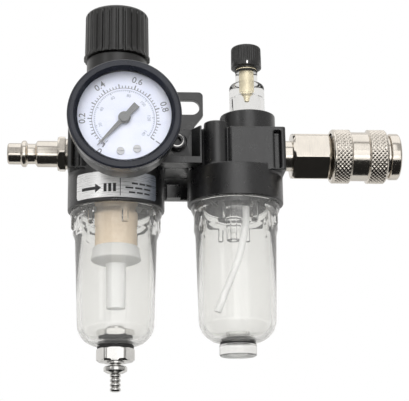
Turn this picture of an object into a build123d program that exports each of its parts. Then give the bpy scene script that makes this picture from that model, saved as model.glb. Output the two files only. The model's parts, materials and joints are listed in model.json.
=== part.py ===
from build123d import *
import os
from math import cos, radians, sin

# Two-unit compressed-air set: filter regulator (left), lubricator (right), a quick plug at the inlet
# and a quick coupler at the outlet. The frame's origin is on the wall, behind the joint between the
# units: X runs along the ports, Y out of the wall's face is negative, Z is up. The port axis is z = 0.

# ---- driving dimensions, mm ----
pitch = 50.0            # between the two unit axes
standoff = 24.0         # wall to the plane of the unit axes
half_length = 45.0      # port face, from the joint
body_depth = 16.3       # port block, half its depth
block_low = -10.6       # port block, underside
block_top = 8.0         # port block, top
block_inner = 10.2      # port block, end beside the joint clamp
skirt_r = 20.2          # round skirt that takes the bowl's thread
skirt_top = -8.2
reg_skirt_low = -25.2
lub_skirt_low = -22.2
port_r = 6.55           # G1/4 port
passage_r = 4.6         # air way through the joint
fit = 0.06              # running clearance on a radius

knob_r = 14.2           # pressure knob at its lip
knob_low = 42.0
knob_top = 63.0
bonnet_r = 12.9
gauge_x = 2.8           # gauge axis, right of the regulator's axis
gauge_z = 0.9           # gauge axis, above the port axis
gauge_r = 22.1          # bezel
gauge_front = 52.1      # bezel face, in front of the unit axes
dome_x = 5.9            # sight dome axis, right of the lubricator's axis
dome_r = 7.55
collar_r = 11.8
collar_top = 17.0
fill_x = -8.4           # fill plug, from the lubricator's axis
fill_y = -11.0
fill_top = 10.5
wall = 2.0              # polycarbonate bowls
reg_bowl_low = -81.3
lub_bowl_low = -80.0
hex_af = 19.0           # coupler hexagon
sleeve_r = 11.6

os.makedirs("parts", exist_ok=True)

# ---- frames of reference ----
reg_x = -pitch / 2
lub_x = pitch / 2
port_axis = Axis((0, -standoff, 0), (1, 0, 0))
gauge_axis = Axis((reg_x + gauge_x, -standoff, gauge_z), (0, -1, 0))
port_section = Plane(origin=(0, -standoff, 0), x_dir=(1, 0, 0), z_dir=(0, -1, 0))
gauge_section = Plane(
    origin=(reg_x + gauge_x, -standoff, gauge_z), x_dir=(0, -1, 0), z_dir=(-1, 0, 0)
)


def level(x, z, y=0.0):
    """Horizontal plane at height z, centred on a vertical axis; y is towards the wall."""
    return Plane(origin=(x, -standoff + y, z))


def section(x, y=0.0):
    """Upright plane through a vertical axis: sketch x is the radius, sketch y the height."""
    return Plane(origin=(x, -standoff + y, 0), x_dir=(1, 0, 0), z_dir=(0, -1, 0))


def upright(x, y=0.0):
    """The vertical axis at x."""
    return Axis((x, -standoff + y, 0), (0, 0, 1))


def across(x):
    """Plane square to the port axis at x: sketch x is depth towards the wall, sketch y the height."""
    return Plane(origin=(x, -standoff, 0), x_dir=(0, 1, 0), z_dir=(1, 0, 0))


def facing(depth):
    """Plane square to the gauge axis, depth in front of the unit axes; it extrudes forwards."""
    return Plane(
        origin=(reg_x + gauge_x, -standoff - depth, gauge_z), x_dir=(1, 0, 0), z_dir=(0, -1, 0)
    )


def save(piece, name):
    """Labels a finished piece and writes its STEP file."""
    piece.part.label = name
    export_step(piece.part, f"parts/{name}.step")


# =====================================================================================
# Bodies and the joint between them
# =====================================================================================
flange_end = 5.0        # face of a joint flange, from the joint's middle
flange_back = 7.4
flange_y = 8.4
flange_z = 8.0
neck_half = 7.0
groove_near = 40.0      # clamp groove in the outer end of each block
groove_far = 42.9
block_length = half_length - block_inner
block_mid = (half_length + block_inner) / 2
cavity_top = -13.0
seat_low = 4.0          # underside of the regulator's valve seat
chamber_floor = 12.0
rim_floor = 13.0
reg_top = 14.0
boss_depth = 18.5       # gauge boss

with BuildPart() as regulator_body:
    with BuildSketch(level(reg_x, reg_skirt_low)):
        Circle(skirt_r)
    extrude(amount=skirt_top - reg_skirt_low)
    with BuildSketch(level(-block_mid, block_low)):
        RectangleRounded(block_length, 2 * body_depth, 1.2)
    extrude(amount=block_top - block_low)
    with BuildSketch(level(reg_x, block_top)):
        Circle(18.5)
    extrude(amount=reg_top - block_top)
    with BuildSketch(facing(body_depth - 1)):
        Circle(8.5)
    extrude(amount=boss_depth - body_depth + 1)
    with BuildSketch(across(-block_inner - 1)):
        Rectangle(2 * neck_half, 2 * neck_half)
    extrude(amount=1 + block_inner - flange_end)
    with BuildSketch(across(-flange_back)):
        RectangleRounded(2 * flange_y, 2 * flange_z, 1.5)
    extrude(amount=flange_back - flange_end)
    # the clamp groove, front and back, closed at its top
    with BuildSketch(level(-(groove_near + groove_far) / 2, block_low + 0.6)):
        with Locations((0, -body_depth), (0, body_depth)):
            Rectangle(groove_far - groove_near, 7)
    extrude(amount=block_top - block_low - 2.4, mode=Mode.SUBTRACT)
    # bowl thread and the air ways
    with BuildSketch(level(reg_x, reg_skirt_low)):
        Circle(17.1)
    extrude(amount=cavity_top - reg_skirt_low, mode=Mode.SUBTRACT)
    with BuildSketch(across(-half_length)):
        Circle(port_r)
    extrude(amount=9.5, mode=Mode.SUBTRACT)
    with BuildSketch(level(reg_x - 11.5, cavity_top - 1)):
        Circle(2.8)
    extrude(amount=1 - cavity_top, mode=Mode.SUBTRACT)
    with BuildSketch(across(-half_length + 9)):
        Circle(3.0)
    extrude(amount=3, mode=Mode.SUBTRACT)
    with BuildSketch(across(-17)):
        Circle(passage_r)
    extrude(amount=17 - flange_end, mode=Mode.SUBTRACT)
    with BuildSketch(level(reg_x + 10.5, 0)):
        Circle(2.2)
    extrude(amount=chamber_floor + 0.5, mode=Mode.SUBTRACT)
    # valve chamber, seat and diaphragm chamber
    with BuildSketch(section(reg_x)):
        Polygon(
            (0, cavity_top - 1), (6.0, cavity_top - 1), (6.0, -3), (4.6, -3), (4.6, seat_low),
            (2.6, seat_low), (2.6, 7), (4.5, 7), (4.5, chamber_floor), (13.5, chamber_floor),
            (13.5, rim_floor), (16.6, rim_floor), (16.6, reg_top + 1), (0, reg_top + 1), align=None,
        )
    revolve(axis=upright(reg_x), mode=Mode.SUBTRACT)
    # gauge port, and its hole up to the diaphragm chamber
    with BuildSketch(facing(9)):
        Circle(4.9)
    extrude(amount=boss_depth - 9, mode=Mode.SUBTRACT)
    with BuildSketch(level(reg_x + gauge_x, 0, -10)):
        Circle(1.2)
    extrude(amount=chamber_floor + 0.5, mode=Mode.SUBTRACT)
save(regulator_body, "regulator_body")

boss_x = 1.4            # oil boss under the lubricator's body, from its axis
boss_r = 5.7
boss_low = -21.5
siphon_x = 4.2          # siphon tube's socket
siphon_y = -2.5
siphon_r = 1.5
dome_floor = 9.5
ring_r = 9.3

with BuildPart() as lubricator_body:
    with BuildSketch(level(lub_x, lub_skirt_low)):
        Circle(skirt_r)
    extrude(amount=skirt_top - lub_skirt_low)
    # flat-faced block on the outlet side, a shallower one beside the joint
    with BuildSketch(level(33.2, block_low)):
        RectangleRounded(2 * (half_length - 33.2), 2 * body_depth, 1.2)
    extrude(amount=block_top - block_low)
    with BuildSketch(level((block_inner + 24) / 2, block_low, 2.2)):
        Rectangle(24 - block_inner, 28.2)
    extrude(amount=block_top - block_low)
    with BuildSketch(level(lub_x + fill_x, block_low, fill_y)):
        Circle(5.3)
    extrude(amount=fill_top - block_low)
    with BuildSketch(level(lub_x + dome_x, block_top)):
        Circle(collar_r)
    extrude(amount=collar_top - block_top)
    with BuildSketch(across(flange_end)):
        Rectangle(2 * neck_half, 2 * neck_half)
    extrude(amount=1 + block_inner - flange_end)
    with BuildSketch(across(flange_end)):
        RectangleRounded(2 * flange_y, 2 * flange_z, 1.5)
    extrude(amount=flange_back - flange_end)
    with BuildSketch(level((groove_near + groove_far) / 2, block_low + 0.6)):
        with Locations((0, -body_depth), (0, body_depth)):
            Rectangle(groove_far - groove_near, 7)
    extrude(amount=block_top - block_low - 2.4, mode=Mode.SUBTRACT)
    with BuildSketch(level(lub_x, lub_skirt_low)):
        Circle(16.3)
    extrude(amount=-12 - lub_skirt_low, mode=Mode.SUBTRACT)
    with BuildSketch(level(lub_x + boss_x, boss_low)):
        Circle(boss_r)
    extrude(amount=-11 - boss_low)
    # the air way, straight through, and the outlet port
    with BuildSketch(across(flange_end)):
        Circle(passage_r)
    extrude(amount=half_length - flange_end, mode=Mode.SUBTRACT)
    with BuildSketch(across(half_length - 9.5)):
        Circle(port_r)
    extrude(amount=9.5, mode=Mode.SUBTRACT)
    # seat of the sight dome and its threaded ring, and the drip hole
    with BuildSketch(level(lub_x + dome_x, dome_floor)):
        Circle(ring_r)
    extrude(amount=collar_top - dome_floor, mode=Mode.SUBTRACT)
    with BuildSketch(level(lub_x + dome_x, 3)):
        Circle(1.0)
    extrude(amount=dome_floor - 2.5, mode=Mode.SUBTRACT)
    # oil way: siphon socket, a link clear of the air way, and a rise to the dome
    with BuildSketch(level(lub_x + siphon_x, boss_low, siphon_y)):
        Circle(siphon_r)
    extrude(amount=-9 - boss_low, mode=Mode.SUBTRACT)
    with BuildSketch(Plane(origin=(lub_x + siphon_x, -standoff + siphon_y, -9.8),
                           x_dir=(1, 0, 0), z_dir=(0, -1, 0))):
        Circle(0.8)
    extrude(amount=5, mode=Mode.SUBTRACT)
    with BuildSketch(level(lub_x + siphon_x, -9.8, siphon_y - 4.5)):
        Circle(0.8)
    extrude(amount=20.3, mode=Mode.SUBTRACT)
    # fill hole down to the bowl, with a recess for the plug's head
    with BuildSketch(level(lub_x + fill_x, -13, fill_y)):
        Circle(3.3)
    extrude(amount=14 + fill_top, mode=Mode.SUBTRACT)
    with BuildSketch(level(lub_x + fill_x, fill_top - 2.2, fill_y)):
        Circle(4.4)
    extrude(amount=3, mode=Mode.SUBTRACT)
save(lubricator_body, "lubricator_body")

screw_z = 2.4           # front clamp screw, above the port axis
rear_screw_z = 4.6

with BuildPart() as joint_spacer:
    with BuildSketch(across(-flange_end)):
        RectangleRounded(2 * flange_y, 2 * flange_z, 1.5)
    extrude(amount=2 * flange_end)
    with BuildSketch(across(-flange_end)):
        Circle(passage_r)
    extrude(amount=2 * flange_end, mode=Mode.SUBTRACT)
    # a groove for a face seal at each end
    for start in (-flange_end, flange_end - 1.0):
        with BuildSketch(across(start)):
            Circle(6.9)
            Circle(5.3, mode=Mode.SUBTRACT)
        extrude(amount=1.0, mode=Mode.SUBTRACT)
    # blind threads for the two clamp screws, above the air way
    for edge, height, deep in ((-flange_y, screw_z, 3.4), (flange_y, rear_screw_z, -3.4)):
        with BuildSketch(Plane(origin=(0, -standoff + edge, height), x_dir=(1, 0, 0), z_dir=(0, 1, 0))):
            Circle(2.0)
        extrude(amount=deep, mode=Mode.SUBTRACT)
save(joint_spacer, "joint_spacer")

with BuildPart() as joint_seals:
    for start in (-flange_end, flange_end - 1.0):
        with BuildSketch(across(start)):
            Circle(6.8)
            Circle(5.4, mode=Mode.SUBTRACT)
        extrude(amount=1.0)
save(joint_seals, "joint_seals")

clamp_half = 10.0
jaw_inner = 7.6
jaw_back = 7.3          # how far the jaws reach in behind the flanges
clamp_low = -8.1        # clear of the skirts' tops
pocket_floor = 11.0
pocket_low = -5.3

with BuildPart() as joint_clamp:
    # a channel that hooks behind both joint flanges from the front
    with BuildSketch(level(0, clamp_low)):
        Polygon(
            (-clamp_half, -body_depth), (clamp_half, -body_depth), (clamp_half, -jaw_back),
            (jaw_inner, -jaw_back), (jaw_inner, -flange_y), (-jaw_inner, -flange_y),
            (-jaw_inner, -jaw_back), (-clamp_half, -jaw_back), align=None,
        )
    extrude(amount=block_top - clamp_low)
    # a pocket with flared sides, open at its top
    with BuildSketch(level(0, pocket_low)):
        Polygon(
            (-9.2, -body_depth), (-6.2, -pocket_floor), (6.2, -pocket_floor), (9.2, -body_depth),
            (9.2, -body_depth - 1), (-9.2, -body_depth - 1), align=None,
        )
    extrude(amount=block_top - pocket_low, mode=Mode.SUBTRACT)
    with BuildSketch(Plane(origin=(0, -standoff - flange_y, screw_z), x_dir=(1, 0, 0), z_dir=(0, -1, 0))):
        Circle(2.2)
    extrude(amount=pocket_floor - flange_y, mode=Mode.SUBTRACT)
    with BuildSketch(Plane(origin=(0, -standoff - pocket_floor, screw_z), x_dir=(1, 0, 0), z_dir=(0, -1, 0))):
        Circle(4.1)
    extrude(amount=-1.3, mode=Mode.SUBTRACT)
save(joint_clamp, "joint_clamp")

plate = 3.0             # bracket plate
ear_half = 13.5
ear_low = 22.5
ear_top = 36.0
slot_z = 28.9
slot_w = 7.0
slot_half = 12.0        # half the slot's length
web_half = 9.5
bracket_low = -14.0

with BuildPart() as mounting_bracket:
    # the plate on the wall: a web that widens into an ear, with one long slot
    with BuildSketch(Plane(origin=(0, 0, 0), x_dir=(1, 0, 0), z_dir=(0, -1, 0))):
        Polygon(
            (-web_half, bracket_low), (web_half, bracket_low), (web_half, ear_low - 2.5),
            (ear_half, ear_low + 2.5), (ear_half, ear_top), (-ear_half, ear_top),
            (-ear_half, ear_low + 2.5), (-web_half, ear_low - 2.5), align=None,
        )
        with Locations((0, slot_z)):
            SlotOverall(2 * slot_half, slot_w, mode=Mode.SUBTRACT)
    extrude(amount=plate)
    upper = mounting_bracket.edges().filter_by(Axis.Y).group_by(Axis.Z)[-1]
    fillet(upper, 2.0)
    # the arm that reaches forward and hooks behind the joint flanges
    with BuildSketch(level(0, clamp_low)):
        Polygon(
            (-clamp_half, jaw_back), (-jaw_inner, jaw_back), (-jaw_inner, flange_y),
            (jaw_inner, flange_y), (jaw_inner, jaw_back), (clamp_half, jaw_back),
            (clamp_half, 12), (web_half, 12), (web_half, standoff - plate),
            (-web_half, standoff - plate), (-web_half, 12), (-clamp_half, 12), align=None,
        )
    extrude(amount=block_top - clamp_low)
    # a rib down the lower web
    with BuildSketch(level(0, bracket_low)):
        with Locations((0, standoff - plate - 2)):
            Rectangle(6, 4)
    extrude(amount=clamp_low - bracket_low)
    # hole for the rear clamp screw, with its head sunk in the back of the plate
    with BuildSketch(Plane(origin=(0, 0, rear_screw_z), x_dir=(1, 0, 0), z_dir=(0, -1, 0))):
        Circle(2.2)
    extrude(amount=standoff - flange_y, mode=Mode.SUBTRACT)
    with BuildSketch(Plane(origin=(0, 0, rear_screw_z), x_dir=(1, 0, 0), z_dir=(0, -1, 0))):
        Circle(3.7)
    extrude(amount=5.5, mode=Mode.SUBTRACT)
save(mounting_bracket, "mounting_bracket")

head_h = 3.8
with BuildPart() as clamp_screws:
    # front screw, then the longer rear one: head, hexagon socket, shank
    for head_at, out, tip_at, height in (
        (standoff + pocket_floor - 1.3, -1, standoff + flange_y - 3.2, screw_z),
        (5.5, 1, standoff - flange_y + 3.2, rear_screw_z),
    ):
        seat = Plane(origin=(0, -head_at, height), x_dir=(1, 0, 0), z_dir=(0, out, 0))
        with BuildSketch(seat):
            Circle(3.5)
        extrude(amount=head_h)
        with BuildSketch(seat):
            Circle(1.95)
        extrude(amount=-abs(head_at - tip_at))
        with BuildSketch(seat.offset(head_h)):
            RegularPolygon(1.75, 6)
        extrude(amount=-2.2, mode=Mode.SUBTRACT)
save(clamp_screws, "clamp_screws")

# =====================================================================================
# Regulator: bonnet, adjusting gear, diaphragm and valve
# =====================================================================================
bonnet_top = knob_low - 0.4
bonnet_wall_low = 36.9  # underside of the bonnet's end wall, which holds the screw's collar down
screw_r = 3.0

with BuildPart() as regulator_bonnet:
    with BuildSketch(section(reg_x)):
        Polygon(
            (0, reg_top), (17.5, reg_top), (17.5, 20), (bonnet_r, 25), (bonnet_r, bonnet_top),
            (0, bonnet_top), align=None,
        )
    revolve(axis=upright(reg_x))
    with BuildSketch(section(reg_x)):
        Polygon(
            (0, reg_top), (12.5, reg_top), (12.5, 17), (9.6, 19), (9.6, bonnet_wall_low),
            (screw_r + fit, bonnet_wall_low), (screw_r + fit, bonnet_top), (0, bonnet_top), align=None,
        )
    revolve(axis=upright(reg_x), mode=Mode.SUBTRACT)
    # bleed hole at the back
    with BuildSketch(Plane(origin=(reg_x, -standoff + 8, 30), x_dir=(1, 0, 0), z_dir=(0, 1, 0))):
        Circle(0.9)
    extrude(amount=6, mode=Mode.SUBTRACT)
save(regulator_bonnet, "regulator_bonnet")

rib_count = 28
hub_low = 49.0
spline_af = 6.0
with BuildPart() as adjusting_knob:
    with BuildSketch(section(reg_x)):
        with BuildLine():
            Polyline((0, knob_low), (knob_r, knob_low), (knob_r, knob_low + 0.8), (13.75, knob_low + 1.8))
            Line((13.75, knob_low + 1.8), (13.55, knob_top - 1.8))
            RadiusArc((13.55, knob_top - 1.8), (11.75, knob_top), -1.8)
            Polyline((11.75, knob_top), (0, knob_top), (0, knob_low))
        make_face()
    revolve(axis=upright(reg_x))
    # a hollow shell over the bonnet's end, with a hub inside
    with BuildSketch(section(reg_x)):
        Polygon(
            (0, knob_low), (11.6, knob_low), (11.6, knob_top - 2.4), (5.6, knob_top - 2.4),
            (5.6, hub_low), (0, hub_low), align=None,
        )
    revolve(axis=upright(reg_x), mode=Mode.SUBTRACT)
    # finger grooves
    with BuildSketch(level(reg_x, knob_low + 1.8)):
        with PolarLocations(14.0, rib_count):
            Rectangle(1.5, 1.5)
    extrude(amount=knob_top - knob_low - 3.4, mode=Mode.SUBTRACT)
    with BuildSketch(level(reg_x, hub_low)):
        RegularPolygon(spline_af / 2 + fit, 6, major_radius=False)
    extrude(amount=11, mode=Mode.SUBTRACT)
save(adjusting_knob, "adjusting_knob")

screw_low = 25.0
collar_low = 35.5       # the screw's thrust collar
with BuildPart() as adjusting_screw:
    with BuildSketch(section(reg_x)):
        Polygon(
            (0, screw_low), (screw_r - 0.6, screw_low), (screw_r, screw_low + 0.7), (screw_r, collar_low),
            (6.0, collar_low), (6.0, bonnet_wall_low - 0.1), (screw_r, bonnet_wall_low - 0.1),
            (screw_r, 48.4), (0, 48.4), align=None,
        )
    revolve(axis=upright(reg_x))
    with BuildSketch(level(reg_x, 48.4)):
        RegularPolygon(spline_af / 2, 6, major_radius=False)
    extrude(amount=8)
save(adjusting_screw, "adjusting_screw")

seat_z = 30.0           # where the spring seat meets the range spring
with BuildPart() as spring_seat:
    with BuildSketch(section(reg_x)):
        Polygon(
            (screw_r + fit, seat_z - 1.8), (5.4, seat_z - 1.8), (5.8, seat_z), (9.3, seat_z),
            (9.3, seat_z + 2.2), (5.2, seat_z + 2.2), (5.2, seat_z + 4.9), (screw_r + fit, seat_z + 4.9),
            align=None,
        )
    revolve(axis=upright(reg_x))
save(spring_seat, "spring_seat")

plate_z = reg_top + 0.1
spring_r = 7.2
wire = 1.0
range_low = plate_z + 1.3
range_turns = 4
with BuildPart() as range_spring:
    coil_height = seat_z - range_low - 2 * wire - 0.2
    with BuildLine():
        coil = Helix(
            pitch=coil_height / range_turns, height=coil_height, radius=spring_r,
            center=(reg_x, -standoff, range_low + wire + 0.1),
        )
    with BuildSketch(Plane(origin=coil @ 0, z_dir=coil % 0)):
        Circle(wire)
    sweep(path=coil, is_frenet=True)
save(range_spring, "range_spring")

with BuildPart() as diaphragm:
    # clamped rim, one rolled convolution, flat centre
    with BuildSketch(section(reg_x)):
        Polygon(
            (1.6, 13.2), (9.4, 13.2), (10.2, 12.7), (12.0, 12.7), (12.8, 13.0), (16.4, 13.0),
            (16.4, 14.0), (12.4, 14.0), (11.7, 13.6), (10.6, 13.6), (9.8, 14.0), (1.6, 14.0),
            align=None,
        )
    revolve(axis=upright(reg_x))
save(diaphragm, "diaphragm")

pin_r = 1.2
with BuildPart() as diaphragm_plate:
    with BuildSketch(section(reg_x)):
        Polygon(
            (pin_r, plate_z), (9.2, plate_z), (9.2, plate_z + 1.1), (5.8, plate_z + 1.1),
            (5.4, plate_z + 3.2), (pin_r, plate_z + 3.2), align=None,
        )
    revolve(axis=upright(reg_x))
save(diaphragm_plate, "diaphragm_plate")

with BuildPart() as valve_poppet:
    # tail in the guide, sealing head under the seat, push pin up to the diaphragm plate
    with BuildSketch(section(reg_x)):
        Polygon(
            (0, -9.5), (1.5, -9.5), (1.5, 1.4), (4.0, 1.4), (4.0, 3.2), (3.4, seat_low - 0.05),
            (pin_r, seat_low - 0.05), (pin_r, plate_z + 3.2), (0, plate_z + 3.2), align=None,
        )
    revolve(axis=upright(reg_x))
save(valve_poppet, "valve_poppet")

with BuildPart() as valve_spring:
    with BuildLine():
        small_coil = Helix(
            pitch=1.05, height=3.3, radius=2.9, center=(reg_x, -standoff, -2.45)
        )
    with BuildSketch(Plane(origin=small_coil @ 0, z_dir=small_coil % 0)):
        Circle(0.35)
    sweep(path=small_coil, is_frenet=True)
save(valve_spring, "valve_spring")

stud_r = 3.0
stud_low = -45.5
with BuildPart() as valve_guide:
    # threaded plug under the valve, drawn out into the stud that carries the element
    with BuildSketch(section(reg_x)):
        Polygon(
            (0, stud_low), (stud_r, stud_low), (stud_r, cavity_top - 1.2), (7.4, cavity_top - 1.2),
            (7.4, cavity_top), (5.95, cavity_top), (5.95, -3.0), (0, -3.0), align=None,
        )
    revolve(axis=upright(reg_x))
    with BuildSketch(level(reg_x, -11.5)):
        Circle(1.5 + fit)
    extrude(amount=9, mode=Mode.SUBTRACT)
    # cross holes that let the filtered air in
    with BuildSketch(level(reg_x, -20)):
        Circle(1.5)
    extrude(amount=9, mode=Mode.SUBTRACT)
    with BuildSketch(across(reg_x - 4)):
        with Locations((0, -19)):
            Circle(0.9)
    extrude(amount=8, mode=Mode.SUBTRACT)
save(valve_guide, "valve_guide")

# =====================================================================================
# Pressure gauge
# =====================================================================================
case_back = 31.0
dial_depth = 44.0
lens_back = 48.6
case_r = 20.6

with BuildPart() as gauge_case:
    with BuildSketch(gauge_section):
        Polygon(
            (case_back, 0), (case_back, case_r - 1.5), (case_back + 1.5, case_r), (48.0, case_r),
            (48.0, 19.6), (case_back + 1.6, 19.4), (case_back + 1.6, 0), align=None,
        )
    revolve(axis=gauge_axis)
    with BuildSketch(facing(case_back)):
        Rectangle(9.2, 9.2)
    extrude(amount=2, mode=Mode.SUBTRACT)
save(gauge_case, "gauge_case")

with BuildPart() as gauge_bezel:
    with BuildSketch(gauge_section):
        with BuildLine():
            Polyline(
                (46.5, case_r), (46.5, gauge_r - 0.5), (47.0, gauge_r), (gauge_front - 1.1, gauge_r)
            )
            RadiusArc((gauge_front - 1.1, gauge_r), (gauge_front, gauge_r - 1.1), 1.1)
            Polyline(
                (gauge_front, gauge_r - 1.1), (gauge_front, 19.6), (gauge_front - 1.9, 18.1),
                (lens_back + 1.4, 18.1), (lens_back + 1.4, 19.7), (48.0, 19.7), (48.0, case_r),
                (46.5, case_r),
            )
        make_face()
    revolve(axis=gauge_axis)
save(gauge_bezel, "gauge_bezel")

with BuildPart() as gauge_lens:
    with BuildSketch(facing(lens_back)):
        Circle(19.6)
    extrude(amount=1.4)
save(gauge_lens, "gauge_lens")

screw_spots = ((-1.4, -12.9), (4.9, -12.0))
with BuildPart() as gauge_dial:
    with BuildSketch(facing(dial_depth)):
        Circle(19.3)
        Circle(1.3, mode=Mode.SUBTRACT)
        with Locations(*screw_spots):
            Circle(0.9, mode=Mode.SUBTRACT)
    extrude(amount=0.5)
save(gauge_dial, "gauge_dial")

with BuildPart() as dial_screws:
    with BuildSketch(facing(dial_depth + 0.5)):
        with Locations(*screw_spots):
            Circle(1.5)
    extrude(amount=0.6)
    with BuildSketch(facing(dial_depth + 0.5)):
        with Locations(*screw_spots):
            Circle(0.85)
    extrude(amount=-1.2)
    with BuildSketch(facing(dial_depth + 1.1)):
        with Locations(*screw_spots):
            Rectangle(2.4, 0.35)
    extrude(amount=-0.3, mode=Mode.SUBTRACT)
save(dial_screws, "dial_screws")

pointer_depth = 46.0
rest_angle = 227.6      # the pointer at zero, from +X towards +Z
stop_angle = 232.0
stop_r = 12.6
with BuildPart() as stop_pin:
    with BuildSketch(facing(dial_depth + 0.5)):
        with Locations((stop_r * cos(radians(stop_angle)), stop_r * sin(radians(stop_angle)))):
            Circle(0.4)
    extrude(amount=2.6)
save(stop_pin, "stop_pin")

with BuildPart() as gauge_pointer:
    with BuildSketch(facing(pointer_depth)):
        with Locations(Rotation(0, 0, rest_angle)):
            Polygon(
                (-7.1, -1.35), (-7.1, 1.35), (0, 1.0), (9.0, 0.62), (15.2, 0.12), (15.2, -0.12),
                (9.0, -0.62), (0, -1.0), align=None,
            )
        Circle(2.4)
    extrude(amount=0.5)
    # hub cap, spindle and the pinion behind the dial
    with BuildSketch(facing(pointer_depth + 0.5)):
        Circle(1.9)
    extrude(amount=0.7)
    with BuildSketch(facing(36.2)):
        Circle(0.8)
    extrude(amount=pointer_depth - 36.2)
    with BuildSketch(facing(38.6)):
        Circle(1.35)
    extrude(amount=1.6)
save(gauge_pointer, "gauge_pointer")

pivot_z = -9.0
sector_r = 7.5
with BuildPart() as sector_gear:
    # toothed quadrant that drives the pinion, on its own pivot below it
    with BuildSketch(facing(39.0)):
        with BuildLine():
            tip = CenterArc((0, pivot_z), sector_r, 35, 60)
            Polyline(tip @ 1, (-1.2, pivot_z), (1.2, pivot_z), tip @ 0)
        make_face()
        with Locations((0, pivot_z)):
            Circle(1.8)
    extrude(amount=0.8)
    with BuildSketch(facing(36.2)):
        with Locations((0, pivot_z)):
            Circle(0.7)
    extrude(amount=6.2)
save(sector_gear, "sector_gear")

with BuildPart() as gauge_movement:
    # two plates on pillars that carry the pinion and the quadrant
    for start in (35.9, 42.0):
        with BuildSketch(facing(start)):
            with Locations((0, -4.5)):
                RectangleRounded(13, 15, 2)
            Circle(0.8 + fit, mode=Mode.SUBTRACT)
            with Locations((0, pivot_z)):
                Circle(0.7 + fit, mode=Mode.SUBTRACT)
        extrude(amount=1.2)
    with BuildSketch(facing(35.9)):
        with Locations((-5.2, 2.6), (5.2, 2.6)):
            Circle(0.9)
    extrude(amount=7.3)
save(gauge_movement, "gauge_movement")

with BuildPart() as bourdon_tube:
    with BuildSketch(gauge_section):
        with Locations((38.6, 14.6)):
            RectangleRounded(4.6, 1.6, 0.7)
    revolve(axis=gauge_axis, revolution_arc=235)
save(bourdon_tube, "bourdon_tube")

with BuildPart() as gauge_stem:
    # socket block in the case, wrench square, and the thread into the body
    with BuildSketch(facing(24.5)):
        Rectangle(12, 12)
    extrude(amount=case_back - 24.5)
    with BuildSketch(facing(case_back)):
        Rectangle(9, 9)
    extrude(amount=4.6)
    with BuildSketch(facing(11.0)):
        Circle(4.85)
    extrude(amount=13.5)
    with BuildSketch(facing(11.0)):
        Circle(1.5)
    extrude(amount=20, mode=Mode.SUBTRACT)
save(gauge_stem, "gauge_stem")

label_angle = 52.0
with BuildPart() as rating_label:
    # thin plate wrapped round the skirt below the gauge
    with BuildSketch(level(reg_x, -23.8)):
        with BuildLine():
            outer = CenterArc((0, 0), skirt_r + 0.2, 270 - label_angle, 2 * label_angle)
            inner = CenterArc((0, 0), skirt_r, 270 - label_angle, 2 * label_angle)
            Line(outer @ 0, inner @ 0)
            Line(outer @ 1, inner @ 1)
        make_face()
    extrude(amount=10.8)
save(rating_label, "rating_label")

# =====================================================================================
# Filter side: element, bowl and drain
# =====================================================================================
element_r = 9.0
with BuildPart() as deflector:
    # ring of slanted vanes that spins the incoming air
    with BuildSketch(level(reg_x, -18.0)):
        Circle(13.6)
        Circle(stud_r + 0.1, mode=Mode.SUBTRACT)
    extrude(amount=1.6)
    with BuildSketch(level(reg_x, -18.0)):
        with PolarLocations(11.6, 12):
            Rectangle(3.0, 1.6, rotation=35)
    extrude(amount=1.6, mode=Mode.SUBTRACT)
save(deflector, "deflector")

with BuildPart() as filter_element:
    with BuildSketch(level(reg_x, -39.5)):
        Circle(element_r)
        Circle(6.0, mode=Mode.SUBTRACT)
    extrude(amount=21.4)
save(filter_element, "filter_element")

with BuildPart() as baffle:
    # clamps the element on its stud, shields the water below, and ends in a hanging post
    with BuildSketch(section(reg_x)):
        Polygon(
            (0, -66), (3.9, -66), (4.2, -46.6), (8.0, -46.2), (10.5, -45.2), (10.5, -44.3),
            (9.9, -42.0), (9.9, -40.0), (9.5, -39.6), (0, -39.6), align=None,
        )
    revolve(axis=upright(reg_x))
    with BuildSketch(level(reg_x, stud_low)):
        Circle(stud_r + 0.05)
    extrude(amount=-39.5 - stud_low, mode=Mode.SUBTRACT)
save(baffle, "baffle")


def bowl_outline(neck_r, neck_top, flange_r, flange_top, profile, corner, low, hole_r):
    """Half-section of a bowl: neck, stop flange, tapering side, round bottom with a hole."""
    side_r, side_low = profile[-1]
    foot_r = side_r - corner
    with BuildLine() as line:
        Polyline(
            (neck_r, neck_top), (neck_r, flange_top), (flange_r, flange_top),
            (flange_r, flange_top - 1.8), *profile,
        )
        RadiusArc((side_r, side_low), (foot_r, low), corner)
        Polyline((foot_r, low), (hole_r, low), (hole_r, low + wall), (foot_r, low + wall))
        RadiusArc((foot_r, low + wall), (side_r - wall, side_low), -(corner - wall))
        Polyline(
            (side_r - wall, side_low), (profile[1][0] - wall, profile[1][1]),
            (neck_r - wall, flange_top - 3), (neck_r - wall, neck_top), (neck_r, neck_top),
        )
    return line.line


drain_hole_r = 5.1
reg_corner = 9.0
reg_profile = (
    (17.95, -29.3), (17.95, -36.0), (16.95, -36.6), (16.08, -62.0),
    (15.75, reg_bowl_low + reg_corner),
)
reg_outline = bowl_outline(
    16.8, -14.5, 18.95, reg_skirt_low - 0.1, reg_profile, reg_corner, reg_bowl_low, drain_hole_r
)
rib_places = 8

with BuildPart() as filter_bowl:
    with BuildSketch(section(reg_x)):
        with BuildLine():
            add(reg_outline)
        make_face()
    revolve(axis=upright(reg_x))
    # short grip ribs under the flange
    with BuildSketch(level(reg_x, -33.5)):
        with PolarLocations(17.9, rib_places, start_angle=11):
            Rectangle(1.9, 2.4)
    extrude(amount=7.0)
save(filter_bowl, "filter_bowl")

with BuildPart() as filter_bowl_seal:
    with BuildSketch(level(reg_x, -14.5)):
        Circle(16.8)
        Circle(15.0, mode=Mode.SUBTRACT)
    extrude(amount=1.4)
save(filter_bowl_seal, "filter_bowl_seal")

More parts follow.
